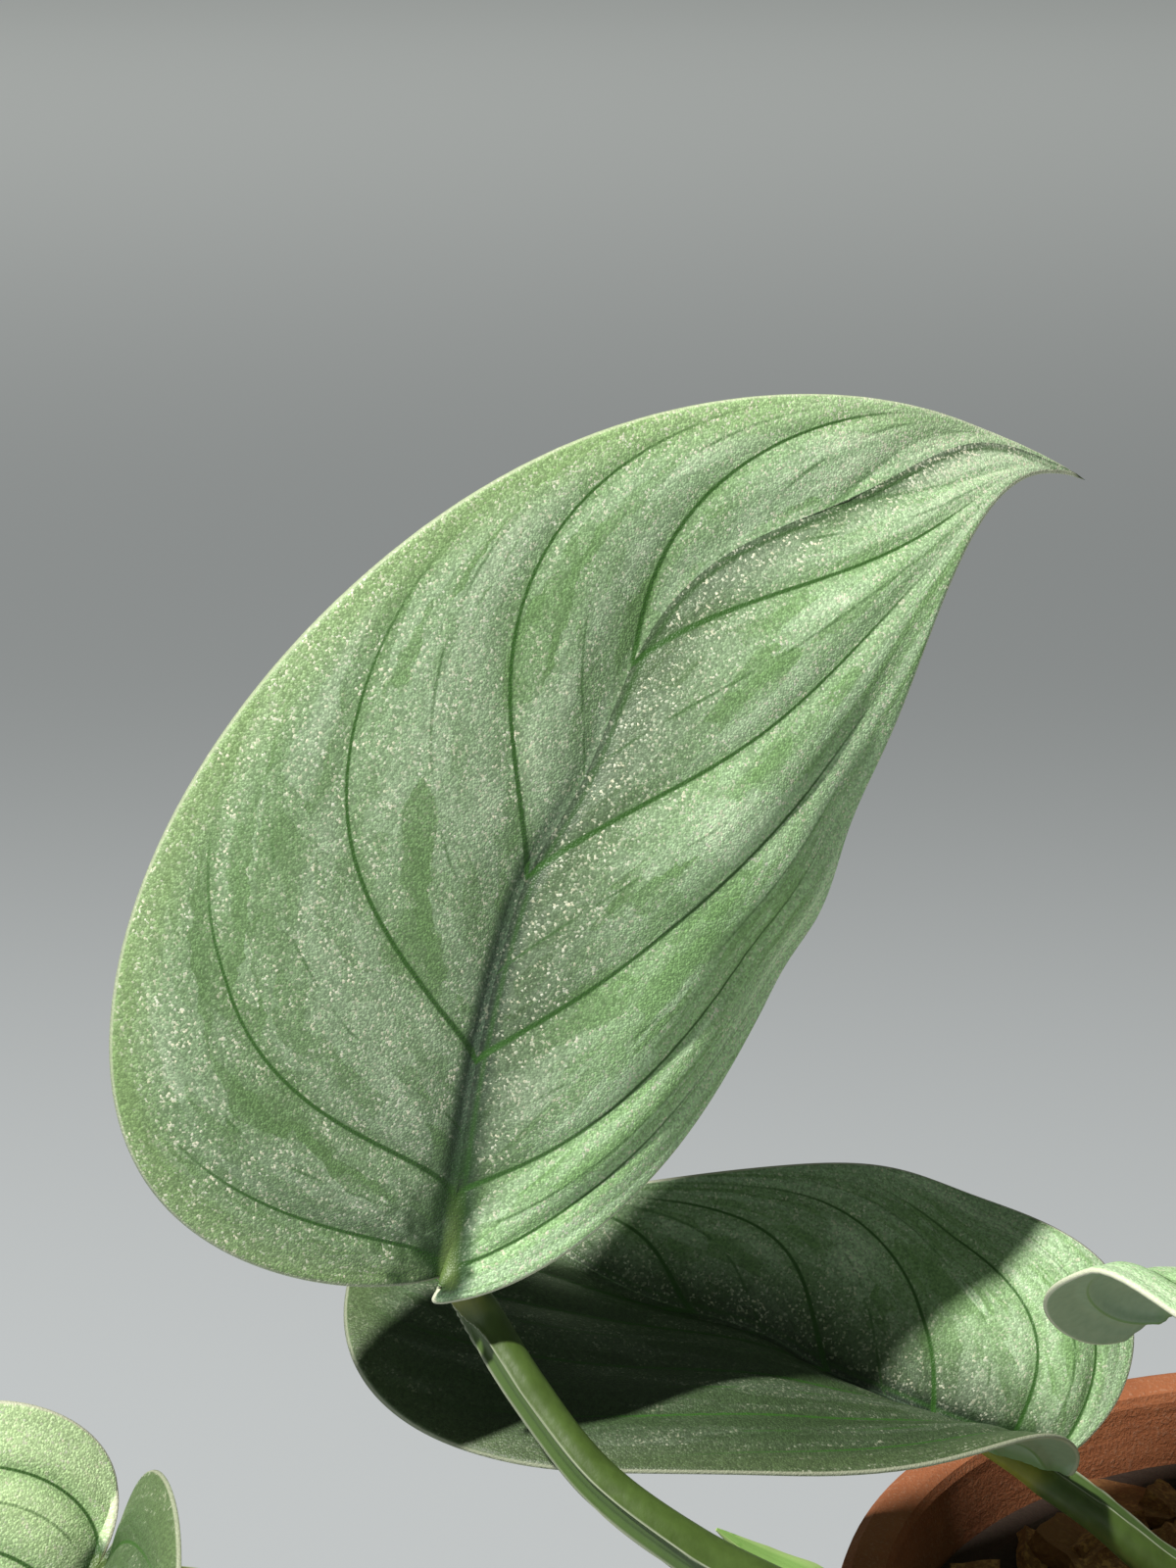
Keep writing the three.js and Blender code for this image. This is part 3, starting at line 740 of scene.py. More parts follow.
# Evenly spaced values read at a share of the way along them
def along(values, share):
    return np.interp(share, np.linspace(0, 1, len(values)), values)


def bladeTurn(blade):
    heading = Matrix.Rotation(math.radians(blade["heading"]), 3, "Z")
    pitch = Matrix.Rotation(math.radians(blade["pitch"]), 3, "X")
    roll = Matrix.Rotation(math.radians(blade["roll"]), 3, "Y")
    return np.array(heading @ pitch @ roll)


# Places along the midrib, from behind the stalk to the tip, each with its right and up
def ribFrames(blade):
    share = 1 / bladeRules["ribSteps"]

    def march(direction, count):
        spot = np.zeros(3)
        right, forward, up = np.eye(3)
        rows = [(0, spot, right, up)]
        for i in range(count):
            middle = direction * (i + 0.5) * share
            sweep = math.radians(along(blade["sweep"], middle)) * share * direction
            droop = math.radians(along(blade["droop"], middle)) * share * direction
            twist = math.radians(blade["twist"]) * share * direction
            ahead = unit(forward + right * sweep - up * droop)
            top = up + forward * droop + right * twist
            top = unit(top - ahead * top.dot(ahead))
            spot = spot + (forward + ahead) * direction * blade["length"] * share / 2
            forward, up = ahead, top
            right = np.cross(forward, up)
            rows.append((direction * (i + 1) * share, spot, right, up))
        return rows

    back = march(-1, round(bladeRules["lobeReach"] * bladeRules["ribSteps"]))
    rows = back[:0:-1] + march(1, bladeRules["ribSteps"])
    return [np.array(column) for column in zip(*rows)]


def mixRows(stations, rows, places):
    return np.stack([np.interp(places, stations, rows[:, k]) for k in range(3)], axis=-1)


def zigzagAt(blade, share):
    rules = bladeRules
    swing = np.cos(2 * math.pi * (share - rules["zigzagPeak"]) / rules["zigzagPitch"])
    start = smooth(rules["zigzagStart"], rules["zigzagFull"], share)
    return blade["zigzag"] * swing * start * (1 - smooth(rules["zigzagFade"], 1, share))


def bezier(points, share):
    a, b, c, d = [np.array(point, float) for point in points]
    u = share[:, None]
    return a * (1 - u) ** 3 + 3 * b * u * (1 - u) ** 2 + 3 * c * u * u * (1 - u) + d * u ** 3


# Outline of one half laid flat, from the stalk (v = 0) round the lobe to the tip (v = 1)
def marginOf(half, length, v):
    wide = (half["width"], half["widest"])
    pull = (half["width"], half["widest"] - half["shoulder"])
    lower = [(0, 0), (half["lobe"][0], -half["lobe"][1]), pull, wide]
    push = (half["width"], half["widest"] + half["flank"])
    upper = [wide, push, (half["tip"][0], length - half["tip"][1]), (0, length)]
    turn = bladeRules["lobeShare"]
    first = bezier(lower, np.clip(v / turn, 0, 1))
    second = bezier(upper, np.clip((v - turn) / (1 - turn), 0, 1))
    return np.where((v < turn)[:, None], first, second)


def bend(blade, frames, x, y, lift, span):
    stations, spots, rights, ups = frames
    share = y / blade["length"]
    wander = zigzagAt(blade, share)
    across = x - wander
    left = across < 0

    def pick(key):
        return np.where(left, *blade[key])

    near = np.exp(-(np.maximum(share, 0) / bladeRules["foldReach"]) ** 2)
    fold = np.radians(pick("fold") + pick("cup") * near) * smooth(0, bladeRules["foldWidth"], span)
    curl = np.radians(pick("curl"))
    flat = np.minimum(np.abs(across), bladeRules["ribHalfWidth"])
    reach = np.abs(across) - flat
    out = flat + (np.sin(fold) - np.sin(fold - curl * reach)) / curl
    rise = (np.cos(fold - curl * reach) - np.cos(fold)) / curl
    sideways = wander + np.where(left, -1, 1) * out
    spot = mixRows(stations, spots, share)
    spot += mixRows(stations, rights, share) * sideways[..., None]
    return spot + mixRows(stations, ups, share) * (rise + lift)[..., None]


# Number of the side vein through each place (whole numbers are main side veins), from its
# place along the midrib and margin (v) and between them (t)
def veinNumber(v, t, sweep):
    pull = sweep[0] * t ** veinRules["leave"] + sweep[1] * t ** 4
    low = np.full(v.shape, -1.0)
    high = np.minimum(1, 1 / np.sqrt(3 * np.maximum(pull, 0.01)))
    for _ in range(30):
        middle = (low + high) / 2
        under = middle + pull * (1 - middle ** 3) < v
        low = np.where(under, middle, low)
        high = np.where(under, high, middle)
    return (low - veinRules["first"]) / veinRules["pitch"]


# The blade as a sheet: rows run from the left margin over the midrib to the right margin
def bladeSheet(name, blade):
    rows = bladeRules["rows"]
    columns = bladeRules["columns"]
    length = blade["length"]
    v = np.arange(1, rows) / rows
    station = v ** bladeRules["ribLean"]
    ribX = zigzagAt(blade, station)
    ribY = station * length
    halves = []
    for side in (0, 1):
        margin = marginOf(blade["halves"][side], length, v)
        sign = 1 if side else -1
        margin[:, 0] *= sign
        spoke = margin - np.stack([ribX, ribY], axis=-1)
        span = np.linalg.norm(spoke, axis=1)
        tangent = np.gradient(margin, axis=0)
        tangent /= np.linalg.norm(tangent, axis=1)[:, None]
        slant = np.abs(spoke[:, 0] * tangent[:, 1] - spoke[:, 1] * tangent[:, 0]) / span
        even = np.arange(columns + 1) / columns
        t = (even + 0.5 - 0.5 * np.cos(math.pi * even)) / 2
        t = t[::-1] if side == 0 else t[1:]
        table, row = np.meshgrid(t, v)
        waves = bladeRules["rippleCount"] * v + bladeRules["rippleOffset"] * side
        ripple = np.sin(2 * math.pi * waves)
        calm = smooth(0, bladeRules["foldWidth"], span) * np.sin(math.pi * v)
        y = ribY[:, None] + spoke[:, 1:] * t
        lap = side * blade.get("lap", 0) * smooth(0, 0.5, t) * (1 - smooth(*bladeRules["lapFade"], y))
        halves.append({
            "x": ribX[:, None] + spoke[:, :1] * t,
            "y": y,
            "lift": blade["wave"] * t * t * (ripple * calm)[:, None] + lap,
            "span": np.repeat(span[:, None], len(t), axis=1),
            "number": veinNumber(row, table, veinRules["sweep"][side]),
            "t": table * sign,
            "edge": (span * slant)[:, None] * (1 - t),
            "v": row,
        })
    grid = {key: np.concatenate([half[key] for half in halves], axis=1) for key in halves[0]}
    width = grid["x"].shape[1]

    # How many millimetres there are from one side vein to the next at each place. A cell of no
    # area counts as a tiny one.
    xRow, xColumn = np.gradient(grid["x"])
    yRow, yColumn = np.gradient(grid["y"])
    nRow, nColumn = np.gradient(grid["number"])
    area = xRow * yColumn - xColumn * yRow
    tiny = 1e-6
    area = np.where(np.abs(area) < tiny, tiny, area)
    slopeX = (nRow * yColumn - nColumn * yRow) / area
    slopeY = (xRow * nColumn - xColumn * nRow) / area
    pitch = 1 / np.maximum(np.hypot(slopeX, slopeY), 1e-3)
    pitch = np.clip(pitch, *veinRules["gapRange"])

    def ends(values, first, last):
        return np.concatenate([[first], values.ravel(), [last]])

    x = ends(grid["x"], 0, 0)
    y = ends(grid["y"], 0, length)
    span = ends(grid["span"], 0, 0)
    bent = bend(blade, ribFrames(blade), x, y, ends(grid["lift"], 0, 0), span)
    spots = bent @ bladeTurn(blade).T + np.array(blade["base"])
    ribGap = np.hypot(x - zigzagAt(blade, y / length), np.minimum(y, 0))
    number = ends(grid["number"], veinRules["footNumber"], veinRules["tipNumber"])
    across = ends(grid["t"], 0, 0)
    gaps = ends(pitch, veinRules["endGap"], veinRules["endGap"])
    vein = np.stack([number, across, gaps], axis=-1)
    place = np.stack([ribGap, ends(grid["edge"], 0, 0), ends(grid["v"], 0, 1)], axis=-1)
    state = [np.where(across < 0, *blade.get(key, usual)) for key, usual in bladeState.items()]
    state = np.stack(state, axis=-1)
    calm = smooth(*bladeRules["calmWidth"], span)

    tip = len(x) - 1
    at = 1 + np.arange((rows - 1) * width).reshape(rows - 1, width)
    a, b, c, d = at[:-1, :-1], at[:-1, 1:], at[1:, 1:], at[1:, :-1]
    faces = np.stack([a, b, c, d], axis=-1).reshape(-1, 4).tolist()
    faces += [[0, int(at[0, j + 1]), int(at[0, j])] for j in range(width - 1)]
    faces += [[tip, int(at[-1, j]), int(at[-1, j + 1])] for j in range(width - 1)]
    values = {"vein": vein, "place": place, "calm": calm, "state": state}
    return meshFrom(name, spots * mm, [], faces, values)


def leafReliefTree():
    tree, given, out = startTree(
        "leafRelief", "GeometryNodeTree",
        {"Sheet": "Geometry", **reliefLook["tree"], "Material": "Material"}, {"Blade": "Geometry"})
    look = reliefLook
    number, across, pitch = split(named(tree, "vein", "FLOAT_VECTOR"))
    ribGap, edge, share = split(named(tree, "place", "FLOAT_VECTOR"))
    calm = named(tree, "calm")
    turn, gap = veinGap(number, pitch)

    # Sunken veins and midrib, quilting between the veins, a raised foot of the midrib
    fade = fall(abs(across), *look["veinEnd"]) * step(number, *leafLook["firstVein"])
    groove = bell(gap, given["Vein Width"]) * fade
    ribBell = bell(ribGap, given["Rib Width"])
    pillow = (turn * math.pi).calc("SINE") ** look["quiltPower"]
    free = step(ribGap, *look["quiltFromRib"]) * step(edge, *look["quiltFromEdge"])
    free = free * (step(share, *look["quiltTip"]) * -0.6 + 1)
    deep = step(share, *look["ribStart"]) * fall(share, *look["ribEnd"])
    flat = step(edge, *look["flatEdge"])
    sunk = groove * given["Vein Depth"] + ribBell * given["Rib Depth"] * deep
    height = pillow * free * given["Quilt Height"] - sunk * flat
    foot = bell(ribGap, look["footWidth"]) * fall(share, *look["footEnd"])
    foot = foot * given["Foot Height"] * step(edge, *look["footEdge"])
    height = height * calm + foot

    # Half the thickness at each place, rounded off to nothing at the rim
    inward = 1 - (edge / given["Rim Width"]).calc("MINIMUM", 1)
    half = given["Thickness"] * 0.5 * (1 - inward * inward).calc("SQRT")
    ridge = larger(ribBell, groove * 0.5) * (given["Under Ridge"] * calm * flat)
    normal = put(tree, "GeometryNodeInputNormal")

    def face(amount):
        inputs = {"Geometry": given["Sheet"], "Offset": stretch(normal, amount * mm)}
        return put(tree, "GeometryNodeSetPosition", inputs)

    upper = store(face(height + half), "upper", 1.0)
    lower = store(face(height - half - ridge), "upper", 0.0)
    both = join(upper, put(tree, "GeometryNodeFlipFaces", {"Mesh": lower}))
    merged = put(tree, "GeometryNodeMergeByDistance", {
        "Geometry": both, "Selection": edge < 0.001, "Distance": look["weld"] * mm})
    return finishTree(shadeSmooth(merged, True), given["Material"], out)


leafTree = leafReliefTree()
for name, blade in blades.items():
    sheet = bladeSheet(name, blade)
    standFor(grow(name + "_skin", sheet, leafTree, reliefLook["tree"], leafMaterial), name)


# Vines: each stands upright in the mix and then follows its stem. A stalk leaves the stem at
# its first point and carries the blade it names. A root is a stub. facing is the side of the
# stalk that its groove lies on. A stalk's seat is forward of the blade's base and below it by
# seatDown radii, and its thin end runs on under the midrib. Groove ends are shares of the stalk.
stalkLook = {
    "stemRadius": 2.7,
    "stemTaper": 0.85,
    "nodeRadius": 3.5,
    "nodeLength": 3.4,
    "scarDepth": 0.22,
    "scarWidth": 0.35,
    "rootRadius": 0.9,
    "rootTaper": 0.5,
    "seatForward": 1.2,
    "seatDown": 1.1,
    "endForward": 7,
    "endDown": 1.3,
    "endTaper": 0.3,
    "grooveStart": (0, 0.12),
    "grooveEnd": (0.86, 0.97),
    "sampling": 0.35,
    "tube": {"Sides": 60, "Groove Edge": 0.83, "Groove Depth": 0.3, "Wing Height": 0.12},
}

vines = {
    "vine_front": {
        "stem": ((-17, -15, 44), (-17, -15, 68), (-19, -18, 79), (-28, -25.5, 87), (-41, -34.5, 91.5)),
        "nodes": ((-28, -25.5, 87), (-41, -34.5, 91.5)),
        "stalks": (
            {"blade": "blade_1", "radii": (2.3, 2, 1.75, 1.5), "facing": (-1, -0.4, 0.3),
             "route": ((-41, -34.5, 91.5), (-48, -36.8, 99.3), (-57.4, -36.4, 104.9),
                       (-64.3, -33.8, 109.3), (-69.4, -29.6, 114.3), (-72.9, -26.4, 118.8))},
            {"blade": "blade_3", "radii": (2.1, 1.7, 1.5, 1.4), "facing": (0, 0, 1),
             "route": ((-28, -25.5, 87), (-44, -28, 87.5), (-66, -32, 90), (-84, -35, 96.5),
                       (-94.5, -38, 103))},
        ),
        "roots": (((-28, -25.5, 87), (-29.5, -29.5, 83), (-30, -31, 79.5)),),
    },
    "vine_back": {
        "stem": ((-3, -2, 44), (-3, -2, 68), (-6, -5, 78), (1, 2, 90), (7, 8, 100), (9, 12, 112)),
        "nodes": ((-6, -5, 78), (7, 8, 100), (9, 12, 112)),
        "stalks": (
            {"blade": "blade_2", "radii": (2.2, 1.9, 1.75, 1.6), "facing": (0, 0, 1),
             "route": ((-6, -5, 78), (-12, -7, 81.4), (-18.5, -8.2, 86.3), (-23.8, -8.4, 91.2))},
            {"blade": "blade_5", "radii": (2.2, 1.8, 1.6, 1.5), "facing": (0, 0, 1),
             "route": ((7, 8, 100), (12, 10.5, 107), (19, 13.5, 112))},
            {"blade": "blade_7", "radii": (2, 1.7, 1.5, 1.4), "facing": (-0.2, -1, 0),
             "route": ((9, 12, 112), (10, 13.5, 122), (9.5, 14.5, 132))},
        ),
        "roots": (((7, 8, 100), (10.5, 5.5, 97.5), (12, 5, 94)),),
    },
    "vine_right": {
        "stem": ((13, -12, 44), (13, -12, 68), (12, -13, 80), (19, -18, 88), (27, -22, 93)),
        "nodes": ((12, -13, 80), (27, -22, 93)),
        "stalks": (
            {"blade": "blade_4", "radii": (2.1, 1.7, 1.5, 1.35), "facing": (0, -0.5, 1),
             "route": ((12, -13, 80), (4, -16, 92), (-6, -19, 103), (-15, -22, 111.5))},
            {"blade": "blade_6", "radii": (2.1, 1.8, 1.6, 1.45), "facing": (0, 0, 1),
             "route": ((27, -22, 93), (31, -24.2, 98.5))},
        ),
        "roots": (((27, -22, 93), (26.5, -25.5, 90), (26, -26.5, 86.5)),),
    },
}

newLeafLook = {
    "route": ((-40.8, -33.2, 92.2), (-41.2, -31.2, 94.2), (-44.6, -32.9, 97.6), (-48.6, -33.7, 100.2),
              (-51.9, -33.8, 102.2), (-55.6, -34.2, 105.3)),
    "radii": (1.3, 1.5, 1.6, 1.5, 1, 0.12),
    "facing": (0, -0.4, 1),
    "grooveStart": (0.1, 0.5),
    "tube": {"Sides": 60, "Groove Edge": 0.6, "Groove Depth": 0.45, "Wing Height": 0.15},
}


# Smooth route through the given points, in even short steps
def routeThrough(points, sampling):
    spots = [np.array(point, float) for point in points]
    spots = [2 * spots[0] - spots[1], *spots, 2 * spots[-1] - spots[-2]]
    share = np.linspace(0, 1, 60)[:, None]
    route = []
    for a, b, c, d in zip(spots, spots[1:], spots[2:], spots[3:]):
        first, second, third = [math.sqrt(np.linalg.norm(q - p)) for p, q in ((a, b), (b, c), (c, d))]
        leave = (b - a) / first - (c - a) / (first + second) + (c - b) / second
        arrive = (c - b) / second - (d - b) / (second + third) + (d - c) / third
        leave, arrive = leave * second, arrive * second
        square = -3 * b + 3 * c - 2 * leave - arrive
        cube = 2 * b - 2 * c + leave + arrive
        route.append(b + leave * share + square * share ** 2 + cube * share ** 3)
    route = np.concatenate(route)
    run = np.concatenate([[0], np.cumsum(np.linalg.norm(np.diff(route, axis=0), axis=1))])
    even = np.linspace(0, run[-1], max(2, round(run[-1] / sampling)))
    return np.stack([np.interp(even, run, route[:, k]) for k in range(3)], axis=-1), even / run[-1]


# The part of a direction that stands square to the route, of length 1
def squareTo(route, direction):
    tangent = np.gradient(route, axis=0)
    tangent /= np.linalg.norm(tangent, axis=1)[:, None]
    facing = direction - tangent * (tangent @ direction)[:, None]
    return facing / np.linalg.norm(facing, axis=1)[:, None]


plainFacing = np.array([0.3, 1, 0.2])  # any side will do where there is no groove


def stemStrand(vine):
    look = stalkLook
    route, share = routeThrough(vine["stem"], look["sampling"])
    radii = [look["stemRadius"]] * 3 + [look["stemTaper"] * look["stemRadius"]]
    girth = along(radii, share)
    for node in vine["nodes"]:
        gap = np.linalg.norm(route - np.array(node), axis=1)
        girth += (look["nodeRadius"] - look["stemRadius"]) * np.exp(-(gap / look["nodeLength"]) ** 2)
        girth -= look["scarDepth"] * np.exp(-((gap - look["nodeLength"] * 0.5) / look["scarWidth"]) ** 2)
    return route, girth, np.zeros(len(route)), squareTo(route, plainFacing), share


# Where a stalk of the given end radius meets the underside of its blade
def seatOf(blade, radius):
    look = stalkLook
    turn = bladeTurn(blade)
    up, forward = turn[:, 2], turn[:, 1]
    base = np.array(blade["base"])
    seat = base + forward * look["seatForward"] - up * radius * look["seatDown"]
    return seat, base + forward * look["endForward"] - up * look["endDown"]


def stalkStrand(stalk):
    look = stalkLook
    radii = stalk["radii"]
    seat, end = seatOf(blades[stalk["blade"]], radii[-1])
    route, share = routeThrough((*stalk["route"], seat, end), look["sampling"])
    girth = along((*radii, radii[-1], look["endTaper"] * radii[-1]), share)
    groove = smooth(*look["grooveStart"], share) * (1 - smooth(*look["grooveEnd"], share))
    return route, girth, groove, squareTo(route, np.array(stalk["facing"], float)), share


def rootStrand(root):
    route, share = routeThrough(root, stalkLook["sampling"])
    radii = (stalkLook["rootRadius"], stalkLook["rootTaper"] * stalkLook["rootRadius"])
    girth = along(radii, share)
    return route, girth, np.zeros(len(route)), squareTo(route, plainFacing), share


def strandMesh(name, strands, kinds):
    points, edges, columns, start = [], [], [], 0
    for (route, girth, groove, facing, share), kind in zip(strands, kinds):
        points.append(route * mm)
        edges += [(start + i, start + i + 1) for i in range(len(route) - 1)]
        columns.append((girth * mm, groove, share, np.full(len(route), float(kind)), facing))
        start += len(route)
    girth, groove, share, kind, facing = [np.concatenate(column) for column in zip(*columns)]
    values = {"girth": girth, "groove": groove, "share": share, "kind": kind, "facing": facing}
    return meshFrom(name, np.concatenate(points), edges, [], values)


def stalkTubeTree():
    tree, given, out = startTree(
        "stalkTube", "GeometryNodeTree",
        {"Routes": "Geometry", **stalkLook["tube"], "Material": "Material"}, {"Stalks": "Geometry"})
    spot = put(tree, "GeometryNodeInputPosition")
    routes = store(given["Routes"], "axis", spot, "FLOAT_VECTOR")
    curve = put(tree, "GeometryNodeMeshToCurve", {"Mesh": routes})
    ring = put(tree, "GeometryNodeCurvePrimitiveCircle", {"Resolution": given["Sides"], "Radius": 1.0})
    girth, groove = named(tree, "girth"), named(tree, "groove")
    tube = put(tree, "GeometryNodeCurveToMesh", {
        "Curve": curve, "Profile Curve": ring, "Scale": girth, "Fill Caps": True})
    spoke = vectorMath("SUBTRACT", spot, named(tree, "axis", "FLOAT_VECTOR"))
    outward = vectorMath("NORMALIZE", spoke)
    lean = vectorMath("DOT_PRODUCT", outward, named(tree, "facing", "FLOAT_VECTOR"), output=1)

    # Past the groove's edge the surface sinks, and on the edge it stands up a little
    past = lean - given["Groove Edge"]
    inside = step(past, 0.0, 0.12) * groove
    onEdge = bell(past, 0.06) * groove
    change = (onEdge * given["Wing Height"] - inside * given["Groove Depth"]) * girth
    tube = store(store(tube, "hollow", step(past, 0.01, 0.05) * groove), "wing", onEdge)
    inputs = {"Geometry": tube, "Offset": stretch(outward, change)}
    shaped = put(tree, "GeometryNodeSetPosition", inputs)
    return finishTree(shadeSmooth(shaped, True), given["Material"], out)


stalkTree = stalkTubeTree()
for name, vine in vines.items():
    strands = [stemStrand(vine)]
    strands += [stalkStrand(stalk) for stalk in vine["stalks"]]
    strands += [rootStrand(root) for root in vine["roots"]]
    kinds = [0] + [1] * len(vine["stalks"]) + [2] * len(vine["roots"])
    mesh = strandMesh(name, strands, kinds)
    standFor(grow(name + "_skin", mesh, stalkTree, stalkLook["tube"], stemMaterial), name)

route, share = routeThrough(newLeafLook["route"], stalkLook["sampling"])
groove = smooth(*newLeafLook["grooveStart"], share)
strand = (route, along(newLeafLook["radii"], share), groove,
          squareTo(route, np.array(newLeafLook["facing"])), share)
mesh = strandMesh("new_leaf", [strand], [3])
standFor(grow("new_leaf_skin", mesh, stalkTree, newLeafLook["tube"], youngMaterial), "new_leaf")

# Pot, in millimetres; its tree's own inputs are in metres
potLook = {
    "height": 76,
    "topRadius": 44,
    "baseRadius": 31,
    "collarHeight": 18,
    "collarStep": 2.4,
    "wall": 4.4,
    "floor": 6,
    "rimRound": 1.4,
    "collarChamfer": 0.6,
    "drillSides": 40,
    "drillDepth": 30,
    "tree": {"Sides": 144, "Rows": 220, "Drain Count": 3, "Drain Radius": 4 * mm, "Drain Ring": 15 * mm},
}


def potOutside(z):
    look = potLook
    spread = look["topRadius"] - look["collarStep"] - look["baseRadius"]
    return look["baseRadius"] + spread * z / look["height"]


def potInside(z):
    look = potLook
    share = (z - look["floor"]) / (look["height"] - look["rimRound"] - look["floor"])
    foot = potOutside(look["floor"])
    return foot + (look["topRadius"] - foot) * share - look["wall"]


# Rounded corner, from a point before it to a point past it
def roundCorner(start, corner, end, count=7):
    u = np.linspace(0, 1, count)[:, None]
    start, corner, end = [np.array(point, float) for point in (start, corner, end)]
    return (start * (1 - u) ** 2 + 2 * corner * u * (1 - u) + end * u * u).tolist()


def potProfile():
    look = potLook
    top, rim, wide = look["height"], look["rimRound"], look["topRadius"]
    collar = top - look["collarHeight"]
    inner = potInside(top - rim)
    neck = (potOutside(collar), collar)
    outline = [[0, 0]]
    outline += roundCorner((look["baseRadius"] - rim, 0), (look["baseRadius"], 0), (potOutside(rim), rim))
    outline += [neck]
    outline += roundCorner(neck, (wide, collar), (wide, collar + 1.5 * look["collarChamfer"]), 5)[1:]
    outline += roundCorner((wide, top - rim), (wide, top), (wide - rim, top))
    outline += roundCorner((inner + rim, top), (inner, top), (inner, top - rim))
    outline += [[potInside(look["floor"]), look["floor"]], [0, look["floor"]]]
    return outline


def profileMesh(name, outline):
    points = [(r * mm, 0, z * mm) for r, z in outline]
    return meshFrom(name, points, [(i, i + 1) for i in range(len(points) - 1)], [], {})


# Group that turns a profile about the Z axis into a closed solid
def turnedTree():
    tree, given, out = startTree(
        "turnedSolid", "GeometryNodeTree",
        {"Profile": "Geometry", "Sides": 64, "Rows": 60}, {"Solid": "Geometry"})
    curve = put(tree, "GeometryNodeMeshToCurve", {"Mesh": given["Profile"]})
    grid = put(tree, "GeometryNodeMeshGrid", {
        "Size X": 1.0, "Size Y": 1.0, "Vertices X": given["Sides"] + 1, "Vertices Y": given["Rows"]})
    x, y = split(put(tree, "GeometryNodeInputPosition"))[:2]
    angle = (x + 0.5) * (2 * math.pi)
    inputs = {"Curves": curve, "Factor": y + 0.5}
    sample = put(tree, "GeometryNodeSampleCurve", inputs, "Position", mode="FACTOR", use_all_curves=True)
    radius, height = split(sample)[::2]
    place = combine(radius * angle.calc("COSINE"), radius * angle.calc("SINE"), height)
    solid = put(tree, "GeometryNodeSetPosition", {"Geometry": grid, "Position": place})
    feed(out[0], put(tree, "GeometryNodeMergeByDistance", {"Geometry": solid, "Distance": 0.005 * mm}))
    return tree


def turnedFrom(tree, turned, given):
    inputs = {label: given[label] for label in ("Profile", "Sides", "Rows")}
    return put(tree, "GeometryNodeGroup", inputs, node_tree=turned)


def pottedTree(turned):
    tree, given, out = startTree(
        "turnedPot", "GeometryNodeTree",
        {"Profile": "Geometry", **potLook["tree"], "Material": "Material"}, {"Pot": "Geometry"})
    solid = turnedFrom(tree, turned, given)
    ring = put(tree, "GeometryNodeMeshCircle", {
        "Vertices": given["Drain Count"], "Radius": given["Drain Ring"]})
    drill = put(tree, "GeometryNodeMeshCylinder", {
        "Vertices": potLook["drillSides"], "Radius": given["Drain Radius"],
        "Depth": potLook["drillDepth"] * mm})
    drills = put(tree, "GeometryNodeInstanceOnPoints", {"Points": ring, "Instance": drill})
    drills = put(tree, "GeometryNodeRealizeInstances", {0: drills})
    cut = put(tree, "GeometryNodeMeshBoolean", {"Mesh 1": solid, "Mesh 2": drills},
              operation="DIFFERENCE", solver="EXACT")
    return finishTree(cut, given["Material"], out)


turned = turnedTree()
profile = profileMesh("potProfile", potProfile())
standFor(grow("pot_skin", profile, pottedTree(turned), potLook["tree"], clayMaterial), "pot")

# Potting mix: a plug with a bumpy top, strewn with bark chips. Millimetres, but for the tree's
# own inputs, which are in metres. Chips are from the first to the second size and turn.
mixLook = {
    "top": 70,
    "crown": 1.2,
    "gap": 0.3,
    "edgeDrop": 1,
    "lumps": 5,
    "lumpReach": 35,
    "lumpDrop": 1.5,
    "chipDrop": 2.5,
    "chipSizes": ((4.5, 3, 1.4), (10.5, 6, 3)),
    "chipTurns": ((-0.55, -0.5, 0), (0.55, 0.5, 6.283)),
    "roughness": 2.2,
    "roughScale": 260.0,
    "tree": {"Sides": 120, "Rows": 150, "Spacing": 3.3 * mm, "Density": 90000.0,
             "Reach": 34 * mm, "Seed": 12},
}


def mixProfile():
    look = mixLook
    floor, top, gap = potLook["floor"] + look["gap"], look["top"], look["gap"]
    return [[0, floor], [potInside(floor) - gap, floor],
            [potInside(top) - gap, top - look["edgeDrop"]], [0, top + look["crown"]]]


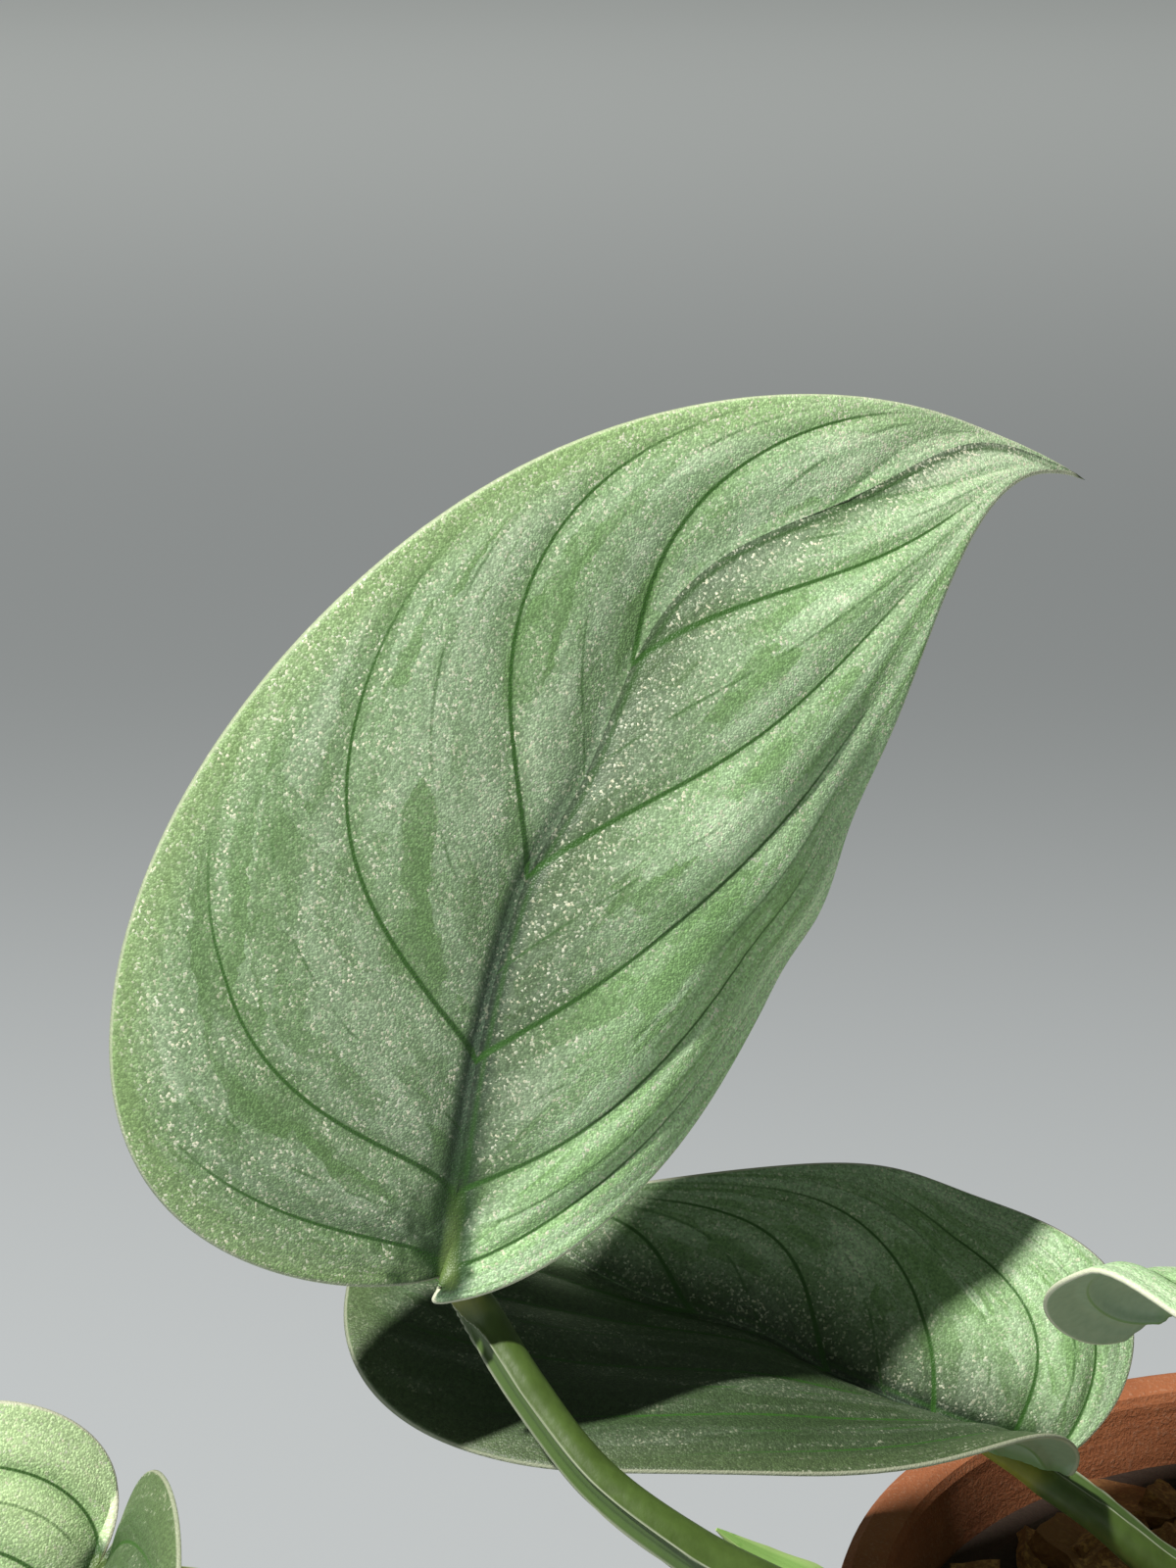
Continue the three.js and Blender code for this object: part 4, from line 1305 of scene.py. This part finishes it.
def barkTree(turned):
    look = mixLook
    tree, given, out = startTree(
        "scatterBark", "GeometryNodeTree",
        {"Profile": "Geometry", **look["tree"], "Material": "Material"}, {"Mix": "Geometry"})
    spot = put(tree, "GeometryNodeInputPosition")
    x, y, z = split(spot)
    radius = (x * x + y * y).calc("SQRT")
    top = (z > (look["top"] - look["lumpDrop"]) * mm) * (radius < look["lumpReach"] * mm)
    rise = (noise(spot, look["roughScale"], 3.0) - 0.55) * (look["lumps"] * mm) * top
    plug = put(tree, "GeometryNodeSetPosition", {
        "Geometry": turnedFrom(tree, turned, given),
        "Offset": put(tree, "ShaderNodeCombineXYZ", {2: rise})})
    plug = store(plug, "tone", -1.0)
    inside = (z > (look["top"] - look["chipDrop"]) * mm) * (radius < given["Reach"])
    seeds = put(tree, "GeometryNodeDistributePointsOnFaces", {
        "Mesh": plug, "Selection": inside, "Distance Min": given["Spacing"],
        "Density Max": given["Density"], "Seed": given["Seed"]}, distribute_method="POISSON")

    def chance(offset, low, high):
        inputs = {"Seed": given["Seed"] + offset, 0: low, 1: high}
        return put(tree, "FunctionNodeRandomValue", inputs, data_type="FLOAT_VECTOR")

    tone = put(tree, "FunctionNodeRandomValue", {"Seed": given["Seed"] + 7}, 1)
    block = put(tree, "GeometryNodeMeshCube", {
        "Size": (1.0, 1.0, 1.0), "Vertices X": 8, "Vertices Y": 6, "Vertices Z": 4})
    turns = put(tree, "FunctionNodeEulerToRotation", {0: chance(1, *look["chipTurns"])})
    small, large = [[part * mm for part in size] for size in look["chipSizes"]]
    chips = put(tree, "GeometryNodeInstanceOnPoints", {
        "Points": store(seeds, "tone", tone), "Instance": block,
        "Rotation": turns, "Scale": chance(2, small, large)})
    chips = put(tree, "GeometryNodeRealizeInstances", {0: chips})
    rough = vectorMath("SUBTRACT", noise(spot, look["roughScale"], 4.0, output=1), (0.5, 0.5, 0.5))
    shift = stretch(rough, look["roughness"] * mm)
    chips = put(tree, "GeometryNodeSetPosition", {"Geometry": chips, "Offset": shift})
    return finishTree(shadeSmooth(join(plug, chips), False), given["Material"], out)


profile = profileMesh("mixProfile", mixProfile())
piece = grow("mix_skin", profile, barkTree(turned), mixLook["tree"], barkMaterial)
standFor(piece, "potting_mix")

# Camera, place in millimetres and tilt in degrees
cameraLook = {
    "place": (-65.04, -270.91, 249.69),
    "lens": 85,
    "sensor": 36,
    "lookDown": 20,
}
camera = bpy.data.cameras.new("camera")
camera.lens = cameraLook["lens"]
camera.sensor_width = cameraLook["sensor"]
camera.sensor_height = cameraLook["sensor"]
scene.camera = show("camera", camera)
scene.camera.location = [value * mm for value in cameraLook["place"]]
scene.camera.rotation_euler = (math.radians(90 - cameraLook["lookDown"]), 0, 0)

# Light: one small bright lamp high on the left, and a dim sky
lightLook = {
    "towards": (-0.40, -0.335, 0.853),
    "aim": (-40, -20, 110),
    "distance": 2200,
    "size": 90,
    "power": 72,
    "colour": (1.0, 0.97, 0.92),
    "sky": (0.90, 1.0, 0.88),
    "skyPower": 0.085,
}
lamp = bpy.data.lights.new("key", "AREA")
lamp.shape = "DISK"
lamp.size = lightLook["size"] * mm
lamp.energy = lightLook["power"]
lamp.color = lightLook["colour"]
lampObject = show("key", lamp)
towards = Vector(lightLook["towards"])
lampObject.location = (Vector(lightLook["aim"]) + towards * lightLook["distance"]) * mm
lampObject.rotation_euler = towards.to_track_quat("Z", "Y").to_euler()
world = bpy.data.worlds.new("studio")
world.use_nodes = True
sky = world.node_tree.nodes["Background"]
sky.inputs[0].default_value = (*lightLook["sky"], 1)
sky.inputs[1].default_value = lightLook["skyPower"]
scene.world = world
scene.view_settings.view_transform = "Standard"

reach = floorLook["halfSize"]
corners = [(-reach, -reach, 0), (reach, -reach, 0), (reach, reach, 0), (-reach, reach, 0)]
floor = show("floor", meshFrom("floor", corners, [], [(0, 1, 2, 3)], {}))
floor.data.materials.append(floorMaterialFrom())
print("set the camera, the light and the floor")
